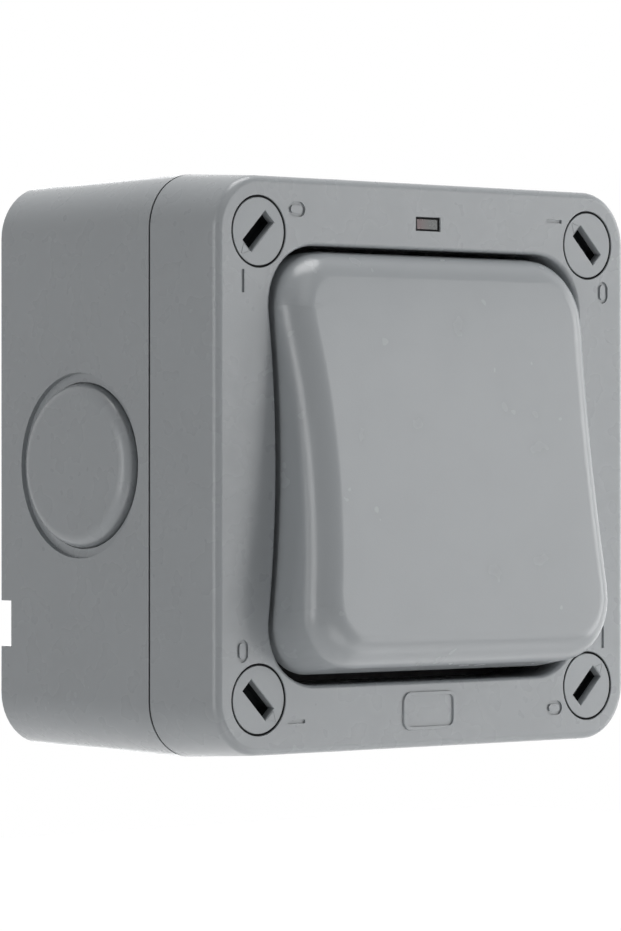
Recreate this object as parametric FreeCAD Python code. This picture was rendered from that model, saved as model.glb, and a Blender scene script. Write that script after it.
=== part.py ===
import FreeCAD, Part
import math
import os

V = FreeCAD.Vector

# Outdoor weatherproof switch, one gang, surface mounted.
# Frame: origin at the centre of the wall face, +X to the right seen from the front,
# +Y into the wall, +Z up. A height h is measured out from the wall, so y = -h.

# Enclosure
PARTING_SIZE = 97.0          # square outline where cover meets box
FACE_DRAFT = 1.6             # how much smaller the cover's front face is
REAR_DRAFT = 1.15            # how much smaller the box is at the wall
PARTING_H = 39.7             # cover joint above the wall
COVER_DEPTH = 16.2           # joint to front face
CORNER_R = 9.2               # plan corner radius
FACE_EDGE_R = 1.7            # rounding of the cover's front edge
JOINT_LINE = 0.3             # shadow groove round the joint, cut into the cover
JOINT_LINE_DEPTH = 0.7
CUT = 1.0                    # how far a cut runs past the surface it opens

# Back box
BOX_WALL = 3.0
FLOOR_H = 4.0                # rear of the floor above the wall
FLOOR_T = 2.5
RIM_WIDTH = 4.8              # thickened rim that carries the gasket groove
RIM_DEPTH = 4.0
GROOVE_OUTER_LIP = 1.2
GROOVE_WIDTH = 2.4
GROOVE_DEPTH = 1.8
GASKET_T = 1.4
GASKET_SIDE_GAP = 0.05
NOTCH_Z = -27.0              # notch in the rear rim, left and right
NOTCH_WIDTH = 7.8
NOTCH_DEPTH = 2.9

# Conduit knockouts, one on each side, and a rear one
KNOCKOUT_H = 21.3
KNOCKOUT_RECESS_R = 15.5
KNOCKOUT_R = 13.65
KNOCKOUT_RECESS_DEPTH = 0.8
KNOCKOUT_PROUD = 1.3
KNOCKOUT_EDGE_R = 2.0
KNOCKOUT_ROOT = 0.5          # disc into the floor of its recess
REAR_KNOCKOUT_R = 10.2
REAR_KNOCKOUT_LINE = 0.7
REAR_KNOCKOUT_DEPTH = 1.0

# Wall fixings through the floor
FIXING_INSET = 18.35         # in from the outline at the joint, for 60.3 between holes
FIXING_HOLE_R = 2.25
FIXING_BOSS_R = 4.2
FIXING_BOSS_T = 5.0

# Cover
COVER_WALL = 2.8
FACE_T = 3.0
TONGUE_WIDTH = 1.1

# Rocker opening: sides hollow towards the middle
OPENING_END_MARGIN = 11.85   # from the outline at the joint to the opening, top and bottom
OPENING_SIDE_MARGIN = 10.83  # the same at the sides, where their arcs would meet the top line
OPENING_WAIST = 3.22         # how far the sides come in at mid height
OPENING_CORNER_R = 10.0
OPENING_EDGE_R = 0.7
WELL_WALL = 1.6
WELL_DEPTH = 13.3            # front face to the rear end of the opening's skirt

# Turn fasteners
FASTENER_INSET = 10.0        # axis in from the outline at the joint
FASTENER_HEAD_R = 5.7
FASTENER_HEAD_T = 3.9
FASTENER_HEAD_GAP = 0.3
FASTENER_HEAD_SINK = 0.1
FASTENER_SLOT_LENGTH = 7.0
FASTENER_SLOT_WIDTH = 2.7
FASTENER_SLOT_DEPTH = 3.0
FASTENER_SHANK_R = 2.6
FASTENER_SHANK_GAP = 0.3
FASTENER_TIP = 1.7           # shank past the lug
LUG_REACH = 4.6
LUG_WIDTH = 3.6
LUG_T = 2.6
LUG_GAP = 0.2                # under the pillar's ledge
LUG_SIDE_GAP = 0.4
SEAL_R = 0.75                # section radius of the fastener's ring seal
SEAL_GAP = 0.05
POCKET_WALL = 1.4
POCKET_FLOOR_T = 1.8
PILLAR_R = 7.5
PILLAR_DROP = 2.7            # top of the pillar behind the joint
LEDGE_T = 4.0
PILLAR_CAVITY_DEPTH = 6.0
# Side of the middle on which each fastener lies, along X and Z
FASTENERS = {
    "top_left": (-1, 1),
    "top_right": (1, 1),
    "bottom_right": (1, -1),
    "bottom_left": (-1, -1),
}

# Rocker
ROCKER_AXIS_DEPTH = 4.9      # axis behind the front face
ROCKER_TILT = 8.0            # from the middle to either end of its throw
ROCKER_PROUD = 8.4           # middle of its front surface before the cover's, level
ROCKER_FACE_R = 560.0        # radius of the slightly crowned front
ROCKER_EDGE_R = 5.0
ROCKER_SIDE_GAP = 1.0
ROCKER_END_GAP = 1.55
ROCKER_WALL = 2.2
PIVOT_R = 1.5
PIVOT_GAP = 0.05
PIVOT_REACH = 1.5            # of each pin into its bearing
BEARING_R = 3.6
BEARING_WALL = 2.6
ROCKER_RIB_X = 17.0
ROCKER_RIB_T = 1.4
ROCKER_RIB_RECESS = 2.0      # in from the end of the skirt

# Finger of the rocker and fork of the dolly
FINGER_WIDTH = 14.0
FINGER_T = 2.2
FINGER_TIP_R = 1.8
FINGER_ARM = 8.8             # rocker axis to finger tip, and finger tip to dolly axis
FORK_GAP = 0.15
FORK_PRONG_T = 2.0
FORK_TIP_EXTRA = 1.7         # prong beyond the finger tip's middle
FORK_BOTTOM_GAP = 0.6        # under the finger tip

# Rubber membrane
MEMBRANE_T = 1.4
MEMBRANE_FLANGE = 1.9        # reach outside the opening's outline
MEMBRANE_BOSS_GAP = 0.2
MEMBRANE_DOME_ROOM_X = 6.25  # round the dome inside the rocker
MEMBRANE_DOME_ROOM_Z = 17.9
MEMBRANE_DOME_RISE = 4.0
MEMBRANE_DOME_T = 1.2
MEMBRANE_CORNER_R = 6.0
MEMBRANE_DOME_EDGE_R = 1.0
COLLAR_GAP_X = 0.3
COLLAR_GAP_Z = 1.2
COLLAR_T = 1.2
COLLAR_RISE = 1.4
COLLAR_CORNER_R = 1.5

# Mounting frame that clamps the membrane and carries the mechanism
FRAME_T = 2.5
FRAME_WINDOW_SIDE = 3.0      # in from the housing's side and end
FRAME_WINDOW_END = 11.0
FRAME_WINDOW_CORNER_R = 2.0
FRAME_SCREW_X = 20.0
FRAME_SCREW_OUT = 3.55       # outside the opening's end
FRAME_EAR_R = 3.0
FRAME_SCREW_R = 1.4
SCREW_GAP = 0.05
SCREW_HEAD_R = 2.6
SCREW_HEAD_T = 1.8
SCREW_LENGTH = 9.0
SCREW_SLOT_WIDTH = 0.7
SCREW_SLOT_DEPTH = 0.8
SCREW_HOLE_DEPTH = 11.0

# Switch mechanism housing
HOUSING_WIDTH = 40.0
HOUSING_HEIGHT = 46.0
HOUSING_WALL = 1.6
HOUSING_FLOOR_T = 2.0
HOUSING_CORNER_R = 2.0
MECH_SCREW_OUT = 5.0         # outside the housing's side
MECH_SCREW_Z = 14.0
MECH_EAR_R = 3.2
MECH_EAR_T = 2.5
MECH_SCREW_LENGTH = 4.6
POLE_X = 11.0                # middle of each pole
POLE_WALL_T = 1.4
POLE_WALL_GAP = 2.4          # under the dolly's barrel

# Dolly
TRUNNION_R = 2.0
TRUNNION_GAP = 0.08
TRUNNION_END_GAP = 0.2       # end inside the housing's outer face
BARREL_R = 4.0
BARREL_END_GAP = 0.4
LEG_R = 3.4
LEG_LENGTH = 8.6
PLUNGER_R = 2.0
PLUNGER_GAP = 0.1
PLUNGER_LENGTH = 5.6
PLUNGER_OUT = 3.25           # out of the dolly's leg
PLUNGER_TIP_GAP = 0.05       # above the bridge with the dolly level
SPRING_WIRE_R = 0.3
SPRING_WIRE_SIDES = 6
SPRING_TURNS = 4

# Contacts
STRIP_WIDTH = 5.0
STRIP_T = 1.0
STRIP_ROOT = 1.0             # strip into its terminal block
STRIP_END = 0.4              # strip past its contact
BRIDGE_LENGTH = 17.0
BRIDGE_T = 1.0
BRIDGE_TILT = 8.0
BLADE_T = 1.0
BLADE_RISE = 3.0             # pivot above the housing's inner floor
BLADE_GAP = 0.06             # round the blade's rounded top, in the bridge's groove
EAR_T = 0.7
EAR_GAP = 0.15
EAR_ROCK_GAP = 0.2           # more room along the strip for its rocking
CONTACT_R = 1.7
CONTACT_T = 0.6
CONTACT_Z = 7.0
CONTACT_AIR = 0.05           # left between the tips when closed

# Terminals
TERMINAL_INSET = 6.0         # in from the housing's end
TERMINAL_WIDTH = 8.0
TERMINAL_DEPTH = 8.0
TERMINAL_T = 9.0
TERMINAL_CORNER_R = 0.8
WIRE_BORE_R = 2.0
WIRE_BORE_UP = 5.6           # wire bore above the terminal's rear face
TERMINAL_SCREW_R = 1.7
TERMINAL_HEAD_R = 2.5
TERMINAL_HEAD_T = 1.6
TERMINAL_SCREW_LENGTH = 3.8
TERMINAL_SEAT_GAP = 0.1
DRIVER_HOLE_GAP = 0.3

# Earth terminal on the box floor
EARTH_Z = -33.0
EARTH_POST_T = 3.5
EARTH_SIZE = 8.0
EARTH_T = 9.0
EARTH_SCREW_R = 2.0
EARTH_HEAD_R = 3.2
EARTH_TIP_GAP = 0.5          # under the screw's end
EARTH_BORE_R = 2.1

# Indicator
WINDOW_INSET = 7.6           # in from the outline at the joint
WINDOW_WIDTH = 5.6
WINDOW_HEIGHT = 2.35
WINDOW_GAP = 0.1
LENS_SINK = 0.25
LENS_FLANGE = 1.1
LENS_FLANGE_T = 1.0
LENS_FLANGE_CORNER_R = 0.6
LAMP_RAISE = 0.7             # above the window's middle
LAMP_LENS_GAP = 1.3
LAMP_R = 2.2
LAMP_LENGTH = 13.0
LAMP_END_R = 1.5
LAMP_GAP = 0.05
CRADLE_X = 4.5
CRADLE_T = 1.2
CRADLE_DROP = 2.0
CRADLE_MOUTH = 3.6
CRADLE_LIP = 0.8
LEAD_R = 0.6
LEAD_BEND_R = 3.0
LEAD_GAP = 0.02
LEAD_IN_BORE = 2.0           # how far each lead reaches into its terminal
RESISTOR_R = 1.4
RESISTOR_LENGTH = 8.0
RESISTOR_DROP = 0.7          # under the mounting frame
RESISTOR_EDGE_R = 0.5

TOLERANCE = 1e-4
X_AXIS = V(1, 0, 0)
Z_AXIS = V(0, 0, 1)
OUT = V(0, -1, 0)            # away from the wall
IN = V(0, 1, 0)              # towards the wall

# Outline and places across the front
FACE_SIZE = PARTING_SIZE - FACE_DRAFT
REAR_SIZE = PARTING_SIZE - REAR_DRAFT
OPENING_HALF_HEIGHT = PARTING_SIZE / 2 - OPENING_END_MARGIN
OPENING_HALF_WIDTH = PARTING_SIZE / 2 - OPENING_SIDE_MARGIN
FASTENER_OFFSET = PARTING_SIZE / 2 - FASTENER_INSET
FIXING_OFFSET = PARTING_SIZE / 2 - FIXING_INSET
WINDOW_Z = PARTING_SIZE / 2 - WINDOW_INSET
LAMP_Z = WINDOW_Z + LAMP_RAISE
FRAME_SCREW_Z = OPENING_HALF_HEIGHT + FRAME_SCREW_OUT
MECH_SCREW_X = HOUSING_WIDTH / 2 + MECH_SCREW_OUT
FRAME_WINDOW_WIDTH = HOUSING_WIDTH - 2 * FRAME_WINDOW_SIDE
FRAME_WINDOW_HEIGHT = HOUSING_HEIGHT - 2 * FRAME_WINDOW_END
TERMINAL_Z = HOUSING_HEIGHT / 2 - TERMINAL_INSET
ROCKER_CORNER_R = OPENING_CORNER_R - ROCKER_SIDE_GAP
ROCKER_INSIDE_X = OPENING_HALF_WIDTH - OPENING_WAIST - ROCKER_SIDE_GAP - ROCKER_WALL
ROCKER_INSIDE_Z = OPENING_HALF_HEIGHT - ROCKER_END_GAP - ROCKER_WALL
MEMBRANE_DOME_WIDTH = 2 * (ROCKER_INSIDE_X - MEMBRANE_DOME_ROOM_X)
MEMBRANE_DOME_HEIGHT = 2 * (ROCKER_INSIDE_Z - MEMBRANE_DOME_ROOM_Z)

# Heights, from the front inwards
FACE_H = PARTING_H + COVER_DEPTH
FACE_INNER_H = FACE_H - FACE_T
FLOOR_TOP_H = FLOOR_H + FLOOR_T
ROCKER_FACE_H = FACE_H + ROCKER_PROUD
ROCKER_AXIS_H = FACE_H - ROCKER_AXIS_DEPTH
ROCKER_SKIRT_H = ROCKER_AXIS_H - PIVOT_R
ROCKER_RIB_H = ROCKER_SKIRT_H + ROCKER_RIB_RECESS
WELL_END_H = FACE_H - WELL_DEPTH
MEMBRANE_DOME_H = WELL_END_H + MEMBRANE_DOME_RISE
FRAME_FRONT_H = WELL_END_H - MEMBRANE_T
FRAME_REAR_H = FRAME_FRONT_H - FRAME_T
DOLLY_AXIS_H = ROCKER_AXIS_H - 2 * FINGER_ARM
POLE_WALL_H = DOLLY_AXIS_H - BARREL_R - POLE_WALL_GAP
PLUNGER_TIP_H = DOLLY_AXIS_H - LEG_LENGTH - PLUNGER_OUT
# The bridge's axis lies in its underside
BRIDGE_PIVOT_H = PLUNGER_TIP_H - PLUNGER_TIP_GAP - BRIDGE_T
HOUSING_INNER_H = BRIDGE_PIVOT_H - BLADE_RISE
HOUSING_FLOOR_H = HOUSING_INNER_H - HOUSING_FLOOR_T
LAMP_H = FACE_INNER_H - LENS_FLANGE_T - LAMP_LENS_GAP - LAMP_R
RESISTOR_H = FRAME_REAR_H - RESISTOR_DROP - RESISTOR_LENGTH
HEAD_FRONT_H = FACE_H - FASTENER_HEAD_SINK
HEAD_REAR_H = HEAD_FRONT_H - FASTENER_HEAD_T
POCKET_FLOOR_H = HEAD_REAR_H - 2 * (SEAL_R + SEAL_GAP)
PILLAR_TOP_H = PARTING_H - PILLAR_DROP
LEDGE_H = PILLAR_TOP_H - LEDGE_T
LUG_FRONT_H = LEDGE_H - LUG_GAP
FASTENER_END_H = LUG_FRONT_H - LUG_T - FASTENER_TIP


def at(x, h, z):
    """Point at height h out from the wall."""
    return V(x, -h, z)


def block(width, height, h0, h1, x=0.0, z=0.0, corner=0.0):
    """Upright block between two heights, with its edges along h rounded."""
    solid = Part.makeBox(width, h1 - h0, height, at(x - width / 2, h1, z - height / 2))
    if corner > 0:
        solid = solid.makeFillet(corner, [e for e in solid.Edges if runs_along(e, IN)])
    return solid


def runs_along(edge, direction):
    """True for a straight edge along a direction."""
    if edge.Curve.TypeId != "Part::GeomLine":
        return False
    return edge.Curve.Direction.cross(direction).Length < TOLERANCE


def post(radius, h0, h1, x=0.0, z=0.0):
    """Cylinder that stands out from the wall between two heights."""
    return Part.makeCylinder(radius, h1 - h0, at(x, h0, z), OUT)


def cross_bar(radius, x0, x1, h, z=0.0):
    """Cylinder along X."""
    return Part.makeCylinder(radius, x1 - x0, at(x0, h, z), X_AXIS)


def tapered_block(size0, h0, size1, h1, corner):
    """Square block with moulding draft and rounded corners."""
    half0 = size0 / 2
    half1 = size1 / 2
    solid = Part.makeWedge(-half1, -h1, -half1, -half0, -half0, half1, -h0, half1, half0, half0)
    upright = [e for e in solid.Edges if e.BoundBox.YLength > (h1 - h0) / 2]
    return solid.makeFillet(corner, upright)


def waisted_block(grow, end_grow, corner, h0, h1):
    """Block with the opening's hollow-sided outline, grown by an offset."""
    half_x = OPENING_HALF_WIDTH + grow
    half_z = OPENING_HALF_HEIGHT + end_grow
    waist_x = half_x - OPENING_WAIST
    edges = [
        Part.LineSegment(at(half_x, h0, half_z), at(-half_x, h0, half_z)).toShape(),
        Part.Arc(at(-half_x, h0, half_z), at(-waist_x, h0, 0), at(-half_x, h0, -half_z)).toShape(),
        Part.LineSegment(at(-half_x, h0, -half_z), at(half_x, h0, -half_z)).toShape(),
        Part.Arc(at(half_x, h0, -half_z), at(waist_x, h0, 0), at(half_x, h0, half_z)).toShape(),
    ]
    solid = Part.Face(Part.Wire(edges)).extrude(OUT * (h1 - h0))
    return solid.makeFillet(corner, [e for e in solid.Edges if runs_along(e, IN)])


def edges_at(solid, h, reach):
    """Edges that lie in the plane at a height, inside a square reach from the middle."""
    found = []
    for edge in solid.Edges:
        box = edge.BoundBox
        flat = abs(box.YMin + h) < TOLERANCE and abs(box.YMax + h) < TOLERANCE
        inside = max(abs(box.XMin), abs(box.XMax), abs(box.ZMin), abs(box.ZMax)) < reach
        if flat and inside:
            found.append(edge)
    return found


def pan_screw(radius, length, head_r, head_t, seat_h, x, z, direction):
    """Slotted screw whose head seats at seat_h and whose shank points along a direction."""
    shank = Part.makeCylinder(radius, length, at(x, seat_h, z), direction)
    head = Part.makeCylinder(head_r, head_t, at(x, seat_h, z), direction * -1)
    top = at(x, seat_h, z) - direction * head_t
    slot = Part.makeBox(2 * (head_r + CUT), SCREW_SLOT_DEPTH, SCREW_SLOT_WIDTH)
    slot.translate(V(top.x - head_r - CUT, min(top.y, top.y + direction.y * SCREW_SLOT_DEPTH),
                     top.z - SCREW_SLOT_WIDTH / 2))
    return shank.fuse(head).cut(slot).removeSplitter()


def corners(half_x, half_z):
    """The four places of a rectangular pattern."""
    return [(sx * half_x, sz * half_z) for sx in (-1, 1) for sz in (-1, 1)]


def fastener_places():
    """Name, place and locked index direction of each turn fastener."""
    for name, (side_x, side_z) in FASTENERS.items():
        index = math.degrees(math.atan2(side_x, -side_z))
        yield name, side_x * FASTENER_OFFSET, side_z * FASTENER_OFFSET, index


def box_size_at(h):
    """Outer size of the back box at a height, between wall and joint."""
    return REAR_SIZE + (PARTING_SIZE - REAR_SIZE) * h / PARTING_H


def box_shell():
    """Walls, floor, rim and rear recess of the back box."""
    shell = tapered_block(REAR_SIZE, 0, PARTING_SIZE, PARTING_H, CORNER_R)
    rim_h = PARTING_H - RIM_DEPTH
    inner_r = CORNER_R - BOX_WALL
    room = tapered_block(box_size_at(FLOOR_TOP_H) - 2 * BOX_WALL, FLOOR_TOP_H,
                         box_size_at(rim_h) - 2 * BOX_WALL, rim_h, inner_r)
    mouth = block(PARTING_SIZE - 2 * RIM_WIDTH, PARTING_SIZE - 2 * RIM_WIDTH, rim_h - CUT,
                  PARTING_H + CUT, corner=CORNER_R - RIM_WIDTH)
    recess = block(REAR_SIZE - 2 * BOX_WALL, REAR_SIZE - 2 * BOX_WALL, -CUT, FLOOR_H,
                   corner=CORNER_R - BOX_WALL)
    return shell.cut([room, mouth, recess])


def gasket_ring(side_gap, h0, h1):
    """Square ring that follows the joint, narrower than its groove by a gap each side."""
    outer = PARTING_SIZE - 2 * (GROOVE_OUTER_LIP + side_gap)
    inner = outer - 2 * (GROOVE_WIDTH - 2 * side_gap)
    outer_r = CORNER_R - GROOVE_OUTER_LIP - side_gap
    inner_r = outer_r - (GROOVE_WIDTH - 2 * side_gap)
    ring = block(outer, outer, h0, h1, corner=outer_r)
    return ring.cut(block(inner, inner, h0 - CUT, h1 + CUT, corner=inner_r))


def knockout():
    """Recess and proud disc of one conduit knockout, on the right-hand side."""
    side_x = box_size_at(KNOCKOUT_H) / 2
    floor_x = side_x - KNOCKOUT_RECESS_DEPTH
    recess = cross_bar(KNOCKOUT_RECESS_R, floor_x, side_x + CUT, KNOCKOUT_H)
    disc = cross_bar(KNOCKOUT_R, floor_x - KNOCKOUT_ROOT, side_x + KNOCKOUT_PROUD, KNOCKOUT_H)
    rim = [e for e in disc.Edges if e.BoundBox.XMin > side_x]
    return recess, disc.makeFillet(KNOCKOUT_EDGE_R, rim)


def pillar_hole(x, z, index):
    """Bore, lug cavity and keyway inside one fastener pillar."""
    bore = post(FASTENER_SHANK_R + FASTENER_SHANK_GAP, LEDGE_H - CUT, PILLAR_TOP_H + CUT, x, z)
    cavity = post(LUG_REACH + LUG_SIDE_GAP, LEDGE_H - PILLAR_CAVITY_DEPTH, LEDGE_H, x, z)
    reach = LUG_REACH + LUG_SIDE_GAP
    width = LUG_WIDTH + 2 * LUG_SIDE_GAP
    keyway = block(reach, width, LEDGE_H - CUT, PILLAR_TOP_H + CUT, x - reach / 2, z)
    keyway.rotate(at(x, 0, z), OUT, index)
    return [bore, cavity, keyway]


def box_additions():
    """Fastener pillars, wall fixing bosses and the earth terminal's post."""
    added = [post(PILLAR_R, FLOOR_TOP_H - CUT, PILLAR_TOP_H, x, z)
             for x, z in corners(FASTENER_OFFSET, FASTENER_OFFSET)]
    added += [post(FIXING_BOSS_R, FLOOR_H, FLOOR_H + FIXING_BOSS_T, x, z)
              for x, z in corners(FIXING_OFFSET, FIXING_OFFSET)]
    added.append(block(EARTH_SIZE, EARTH_SIZE, FLOOR_TOP_H - CUT, FLOOR_TOP_H + EARTH_POST_T,
                       0, EARTH_Z))
    outer = tapered_block(REAR_SIZE, 0, PARTING_SIZE, PARTING_H, CORNER_R)
    return [piece.common(outer) for piece in added]


def box_holes():
    """Gasket groove, pillar bores, fixing holes, rear notches and the rear knockout's line."""
    holes = [gasket_ring(0, PARTING_H - GROOVE_DEPTH, PARTING_H + CUT)]
    for name, x, z, index in fastener_places():
        holes += pillar_hole(x, z, index)
    holes += [post(FIXING_HOLE_R, FLOOR_H - CUT, FLOOR_H + FIXING_BOSS_T + CUT, x, z)
              for x, z in corners(FIXING_OFFSET, FIXING_OFFSET)]
    holes.append(post(EARTH_SCREW_R, FLOOR_TOP_H, FLOOR_TOP_H + EARTH_POST_T + CUT, 0, EARTH_Z))
    holes.append(block(REAR_SIZE + 2 * CUT, NOTCH_WIDTH, -CUT, NOTCH_DEPTH, 0, NOTCH_Z))
    line_end = FLOOR_H + REAR_KNOCKOUT_DEPTH
    line = post(REAR_KNOCKOUT_R, FLOOR_H - CUT, line_end)
    holes.append(line.cut(post(REAR_KNOCKOUT_R - REAR_KNOCKOUT_LINE, FLOOR_H - CUT, line_end)))
    return holes


def make_back_box():
    """One-piece box: fastener pillars, fixing bosses, knockouts, gasket groove and notches."""
    recesses = []
    discs = []
    for turn in range(4):
        recess, disc = knockout()
        for piece in (recess, disc):
            piece.rotate(V(0, 0, 0), OUT, 90 * turn)
        recesses.append(recess)
        discs.append(disc)
    box = box_shell().fuse(box_additions()).cut(box_holes() + recesses)
    return box.fuse(discs).removeSplitter()


def make_cover_gasket():
    """Rubber ring that lies on the floor of the rim's groove."""
    floor_h = PARTING_H - GROOVE_DEPTH
    return gasket_ring(GASKET_SIDE_GAP, floor_h, floor_h + GASKET_T)


def cover_shell():
    """Cover with its side walls, rounded front edge and the tongue that presses the gasket."""
    shell = tapered_block(PARTING_SIZE, PARTING_H, FACE_SIZE, FACE_H, CORNER_R)
    shell = shell.makeFillet(FACE_EDGE_R, edges_at(shell, FACE_H, FACE_SIZE))
    inner_r = CORNER_R - COVER_WALL
    draft = (PARTING_SIZE - FACE_SIZE) * FACE_T / (FACE_H - PARTING_H)
    room = tapered_block(PARTING_SIZE - 2 * COVER_WALL, PARTING_H,
                         FACE_SIZE + draft - 2 * COVER_WALL, FACE_INNER_H, inner_r)
    side_gap = (GROOVE_WIDTH - TONGUE_WIDTH) / 2
    tongue = gasket_ring(side_gap, PARTING_H - GROOVE_DEPTH + GASKET_T, PARTING_H)
    line_size = PARTING_SIZE - 2 * JOINT_LINE_DEPTH
    line = block(PARTING_SIZE + CUT, PARTING_SIZE + CUT, PARTING_H - CUT, PARTING_H + JOINT_LINE)
    line = line.cut(block(line_size, line_size, PARTING_H - CUT, PARTING_H + JOINT_LINE,
                          corner=CORNER_R - JOINT_LINE_DEPTH))
    return shell.cut([room, line]).fuse(tongue)


def lamp_cradle(x):
    """Clip rib that holds the lamp behind its window."""
    rib = Part.makeBox(CRADLE_T, FACE_INNER_H - LAMP_H + CRADLE_DROP, 2 * (LAMP_R + CRADLE_LIP),
                       at(x - CRADLE_T / 2, FACE_INNER_H, LAMP_Z - LAMP_R - CRADLE_LIP))
    seat = cross_bar(LAMP_R + LAMP_GAP, x - CRADLE_T, x + CRADLE_T, LAMP_H, LAMP_Z)
    mouth = Part.makeBox(2 * CRADLE_T, LAMP_H, CRADLE_MOUTH,
                         at(x - CRADLE_T, LAMP_H, LAMP_Z - CRADLE_MOUTH / 2))
    return rib.cut([seat, mouth])


def make_front_cover():
    """One-piece cover with the waisted rocker opening, its skirt, bearings and pockets."""
    cover = cover_shell()
    skirt = waisted_block(WELL_WALL, WELL_WALL, OPENING_CORNER_R + WELL_WALL, WELL_END_H,
                          FACE_INNER_H)
    bearings = [cross_bar(BEARING_R, x0, x0 + BEARING_WALL, ROCKER_AXIS_H) for x0 in
                (waist_x(), -waist_x() - BEARING_WALL)]
    bosses = [post(FRAME_EAR_R, FRAME_FRONT_H, FACE_INNER_H, x, z)
              for x, z in corners(FRAME_SCREW_X, FRAME_SCREW_Z)]
    pockets = [post(FASTENER_HEAD_R + FASTENER_HEAD_GAP + POCKET_WALL,
                    POCKET_FLOOR_H - POCKET_FLOOR_T, FACE_INNER_H, x, z)
               for x, z in corners(FASTENER_OFFSET, FASTENER_OFFSET)]
    cradles = [lamp_cradle(x) for x in (-CRADLE_X, CRADLE_X)]
    outer = tapered_block(PARTING_SIZE, PARTING_H, FACE_SIZE, FACE_H, CORNER_R)
    cover = cover.fuse([p.common(outer) for p in [skirt] + bearings + bosses + pockets + cradles])
    cover = cover.cut(waisted_block(0, 0, OPENING_CORNER_R, PARTING_H, FACE_H + CUT))
    cover = cover.makeFillet(OPENING_EDGE_R, edges_at(cover, FACE_H, OPENING_HALF_WIDTH + WELL_WALL))
    reach = waist_x() + BEARING_WALL + CUT
    removed = [cross_bar(PIVOT_R + PIVOT_GAP, -reach, reach, ROCKER_AXIS_H)]
    for x, z in corners(FASTENER_OFFSET, FASTENER_OFFSET):
        removed.append(post(FASTENER_HEAD_R + FASTENER_HEAD_GAP, POCKET_FLOOR_H, FACE_H + CUT, x, z))
        removed.append(post(FASTENER_SHANK_R + FASTENER_SHANK_GAP, PARTING_H, FACE_H, x, z))
    for x, z in corners(FRAME_SCREW_X, FRAME_SCREW_Z):
        removed.append(post(FRAME_SCREW_R + SCREW_GAP, FRAME_FRONT_H - CUT,
                            FRAME_REAR_H + SCREW_HOLE_DEPTH, x, z))
    removed.append(block(WINDOW_WIDTH, WINDOW_HEIGHT, FACE_INNER_H - CUT, FACE_H + CUT, 0,
                         WINDOW_Z))
    return cover.cut(removed).removeSplitter()


def waist_x():
    """Half width of the opening at mid height."""
    return OPENING_HALF_WIDTH - OPENING_WAIST


def make_indicator_lens():
    """Clear window with a flange behind the cover's face."""
    width = WINDOW_WIDTH - 2 * WINDOW_GAP
    height = WINDOW_HEIGHT - 2 * WINDOW_GAP
    pane = block(width, height, FACE_INNER_H - LENS_FLANGE_T, FACE_H - LENS_SINK, 0, WINDOW_Z)
    flange = block(width + 2 * LENS_FLANGE, height + 2 * LENS_FLANGE,
                   FACE_INNER_H - LENS_FLANGE_T, FACE_INNER_H, 0, WINDOW_Z, LENS_FLANGE_CORNER_R)
    return pane.fuse(flange).removeSplitter()


def make_neon_lamp():
    """Sealed glass tube that lies across the rear of the window."""
    tube = cross_bar(LAMP_R, -LAMP_LENGTH / 2, LAMP_LENGTH / 2, LAMP_H, LAMP_Z)
    return tube.makeFillet(LAMP_END_R, [e for e in tube.Edges if not runs_along(e, X_AXIS)])


def lead_path(side):
    """Wire route from the lamp's end, down past the frame and into an upper terminal."""
    x = side * POLE_X
    wire_h = HOUSING_INNER_H + TERMINAL_SEAT_GAP + WIRE_BORE_UP
    end_z = TERMINAL_Z + TERMINAL_DEPTH / 2 - LEAD_IN_BORE
    points = [at(side * LAMP_LENGTH / 2, LAMP_H, LAMP_Z), at(x, LAMP_H, LAMP_Z),
              at(x, wire_h, LAMP_Z), at(x, wire_h, end_z)]
    edges = []
    start = points[0]
    for before, corner, after in zip(points, points[1:], points[2:]):
        back = (before - corner).normalize() * LEAD_BEND_R
        ahead = (after - corner).normalize() * LEAD_BEND_R
        middle = corner + (back + ahead) * (1 - math.sqrt(0.5))
        edges.append(Part.LineSegment(start, corner + back).toShape())
        edges.append(Part.Arc(corner + back, middle, corner + ahead).toShape())
        start = corner + ahead
    edges.append(Part.LineSegment(start, points[-1]).toShape())
    return Part.Wire(edges)


def make_lamp_leads():
    """The lamp's two insulated leads."""
    leads = []
    for side in (-1, 1):
        path = lead_path(side)
        section = Part.Wire(Part.makeCircle(LEAD_R, at(side * LAMP_LENGTH / 2, LAMP_H, LAMP_Z),
                                            X_AXIS))
        leads.append(path.makePipeShell([section], True, False))
    return Part.Compound(leads)


def make_lamp_resistor():
    """Series resistor sleeved over the right-hand lead."""
    sleeve = post(RESISTOR_R, RESISTOR_H, RESISTOR_H + RESISTOR_LENGTH, POLE_X, LAMP_Z)
    sleeve = sleeve.makeFillet(RESISTOR_EDGE_R, [e for e in sleeve.Edges if not runs_along(e, IN)])
    return sleeve.cut(post(LEAD_R + LEAD_GAP, RESISTOR_H - CUT, RESISTOR_H + RESISTOR_LENGTH + CUT,
                           POLE_X, LAMP_Z))


def make_fastener(x, z, index):
    """Turn fastener: slotted head, shank and the lug that hooks under the pillar's ledge."""
    head = post(FASTENER_HEAD_R, HEAD_REAR_H, HEAD_FRONT_H, x, z)
    shank = post(FASTENER_SHANK_R, FASTENER_END_H, HEAD_REAR_H, x, z)
    lug = block(LUG_REACH, LUG_WIDTH, LUG_FRONT_H - LUG_T, LUG_FRONT_H, x + LUG_REACH / 2, z)
    lug = lug.common(post(LUG_REACH, LUG_FRONT_H - LUG_T, LUG_FRONT_H, x, z))
    slot = block(FASTENER_SLOT_LENGTH, FASTENER_SLOT_WIDTH, HEAD_FRONT_H - FASTENER_SLOT_DEPTH,
                 HEAD_FRONT_H + CUT, x, z)
    for piece in (lug, slot):
        piece.rotate(at(x, 0, z), OUT, index)
    return head.fuse([shank, lug]).cut(slot).removeSplitter()


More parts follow.
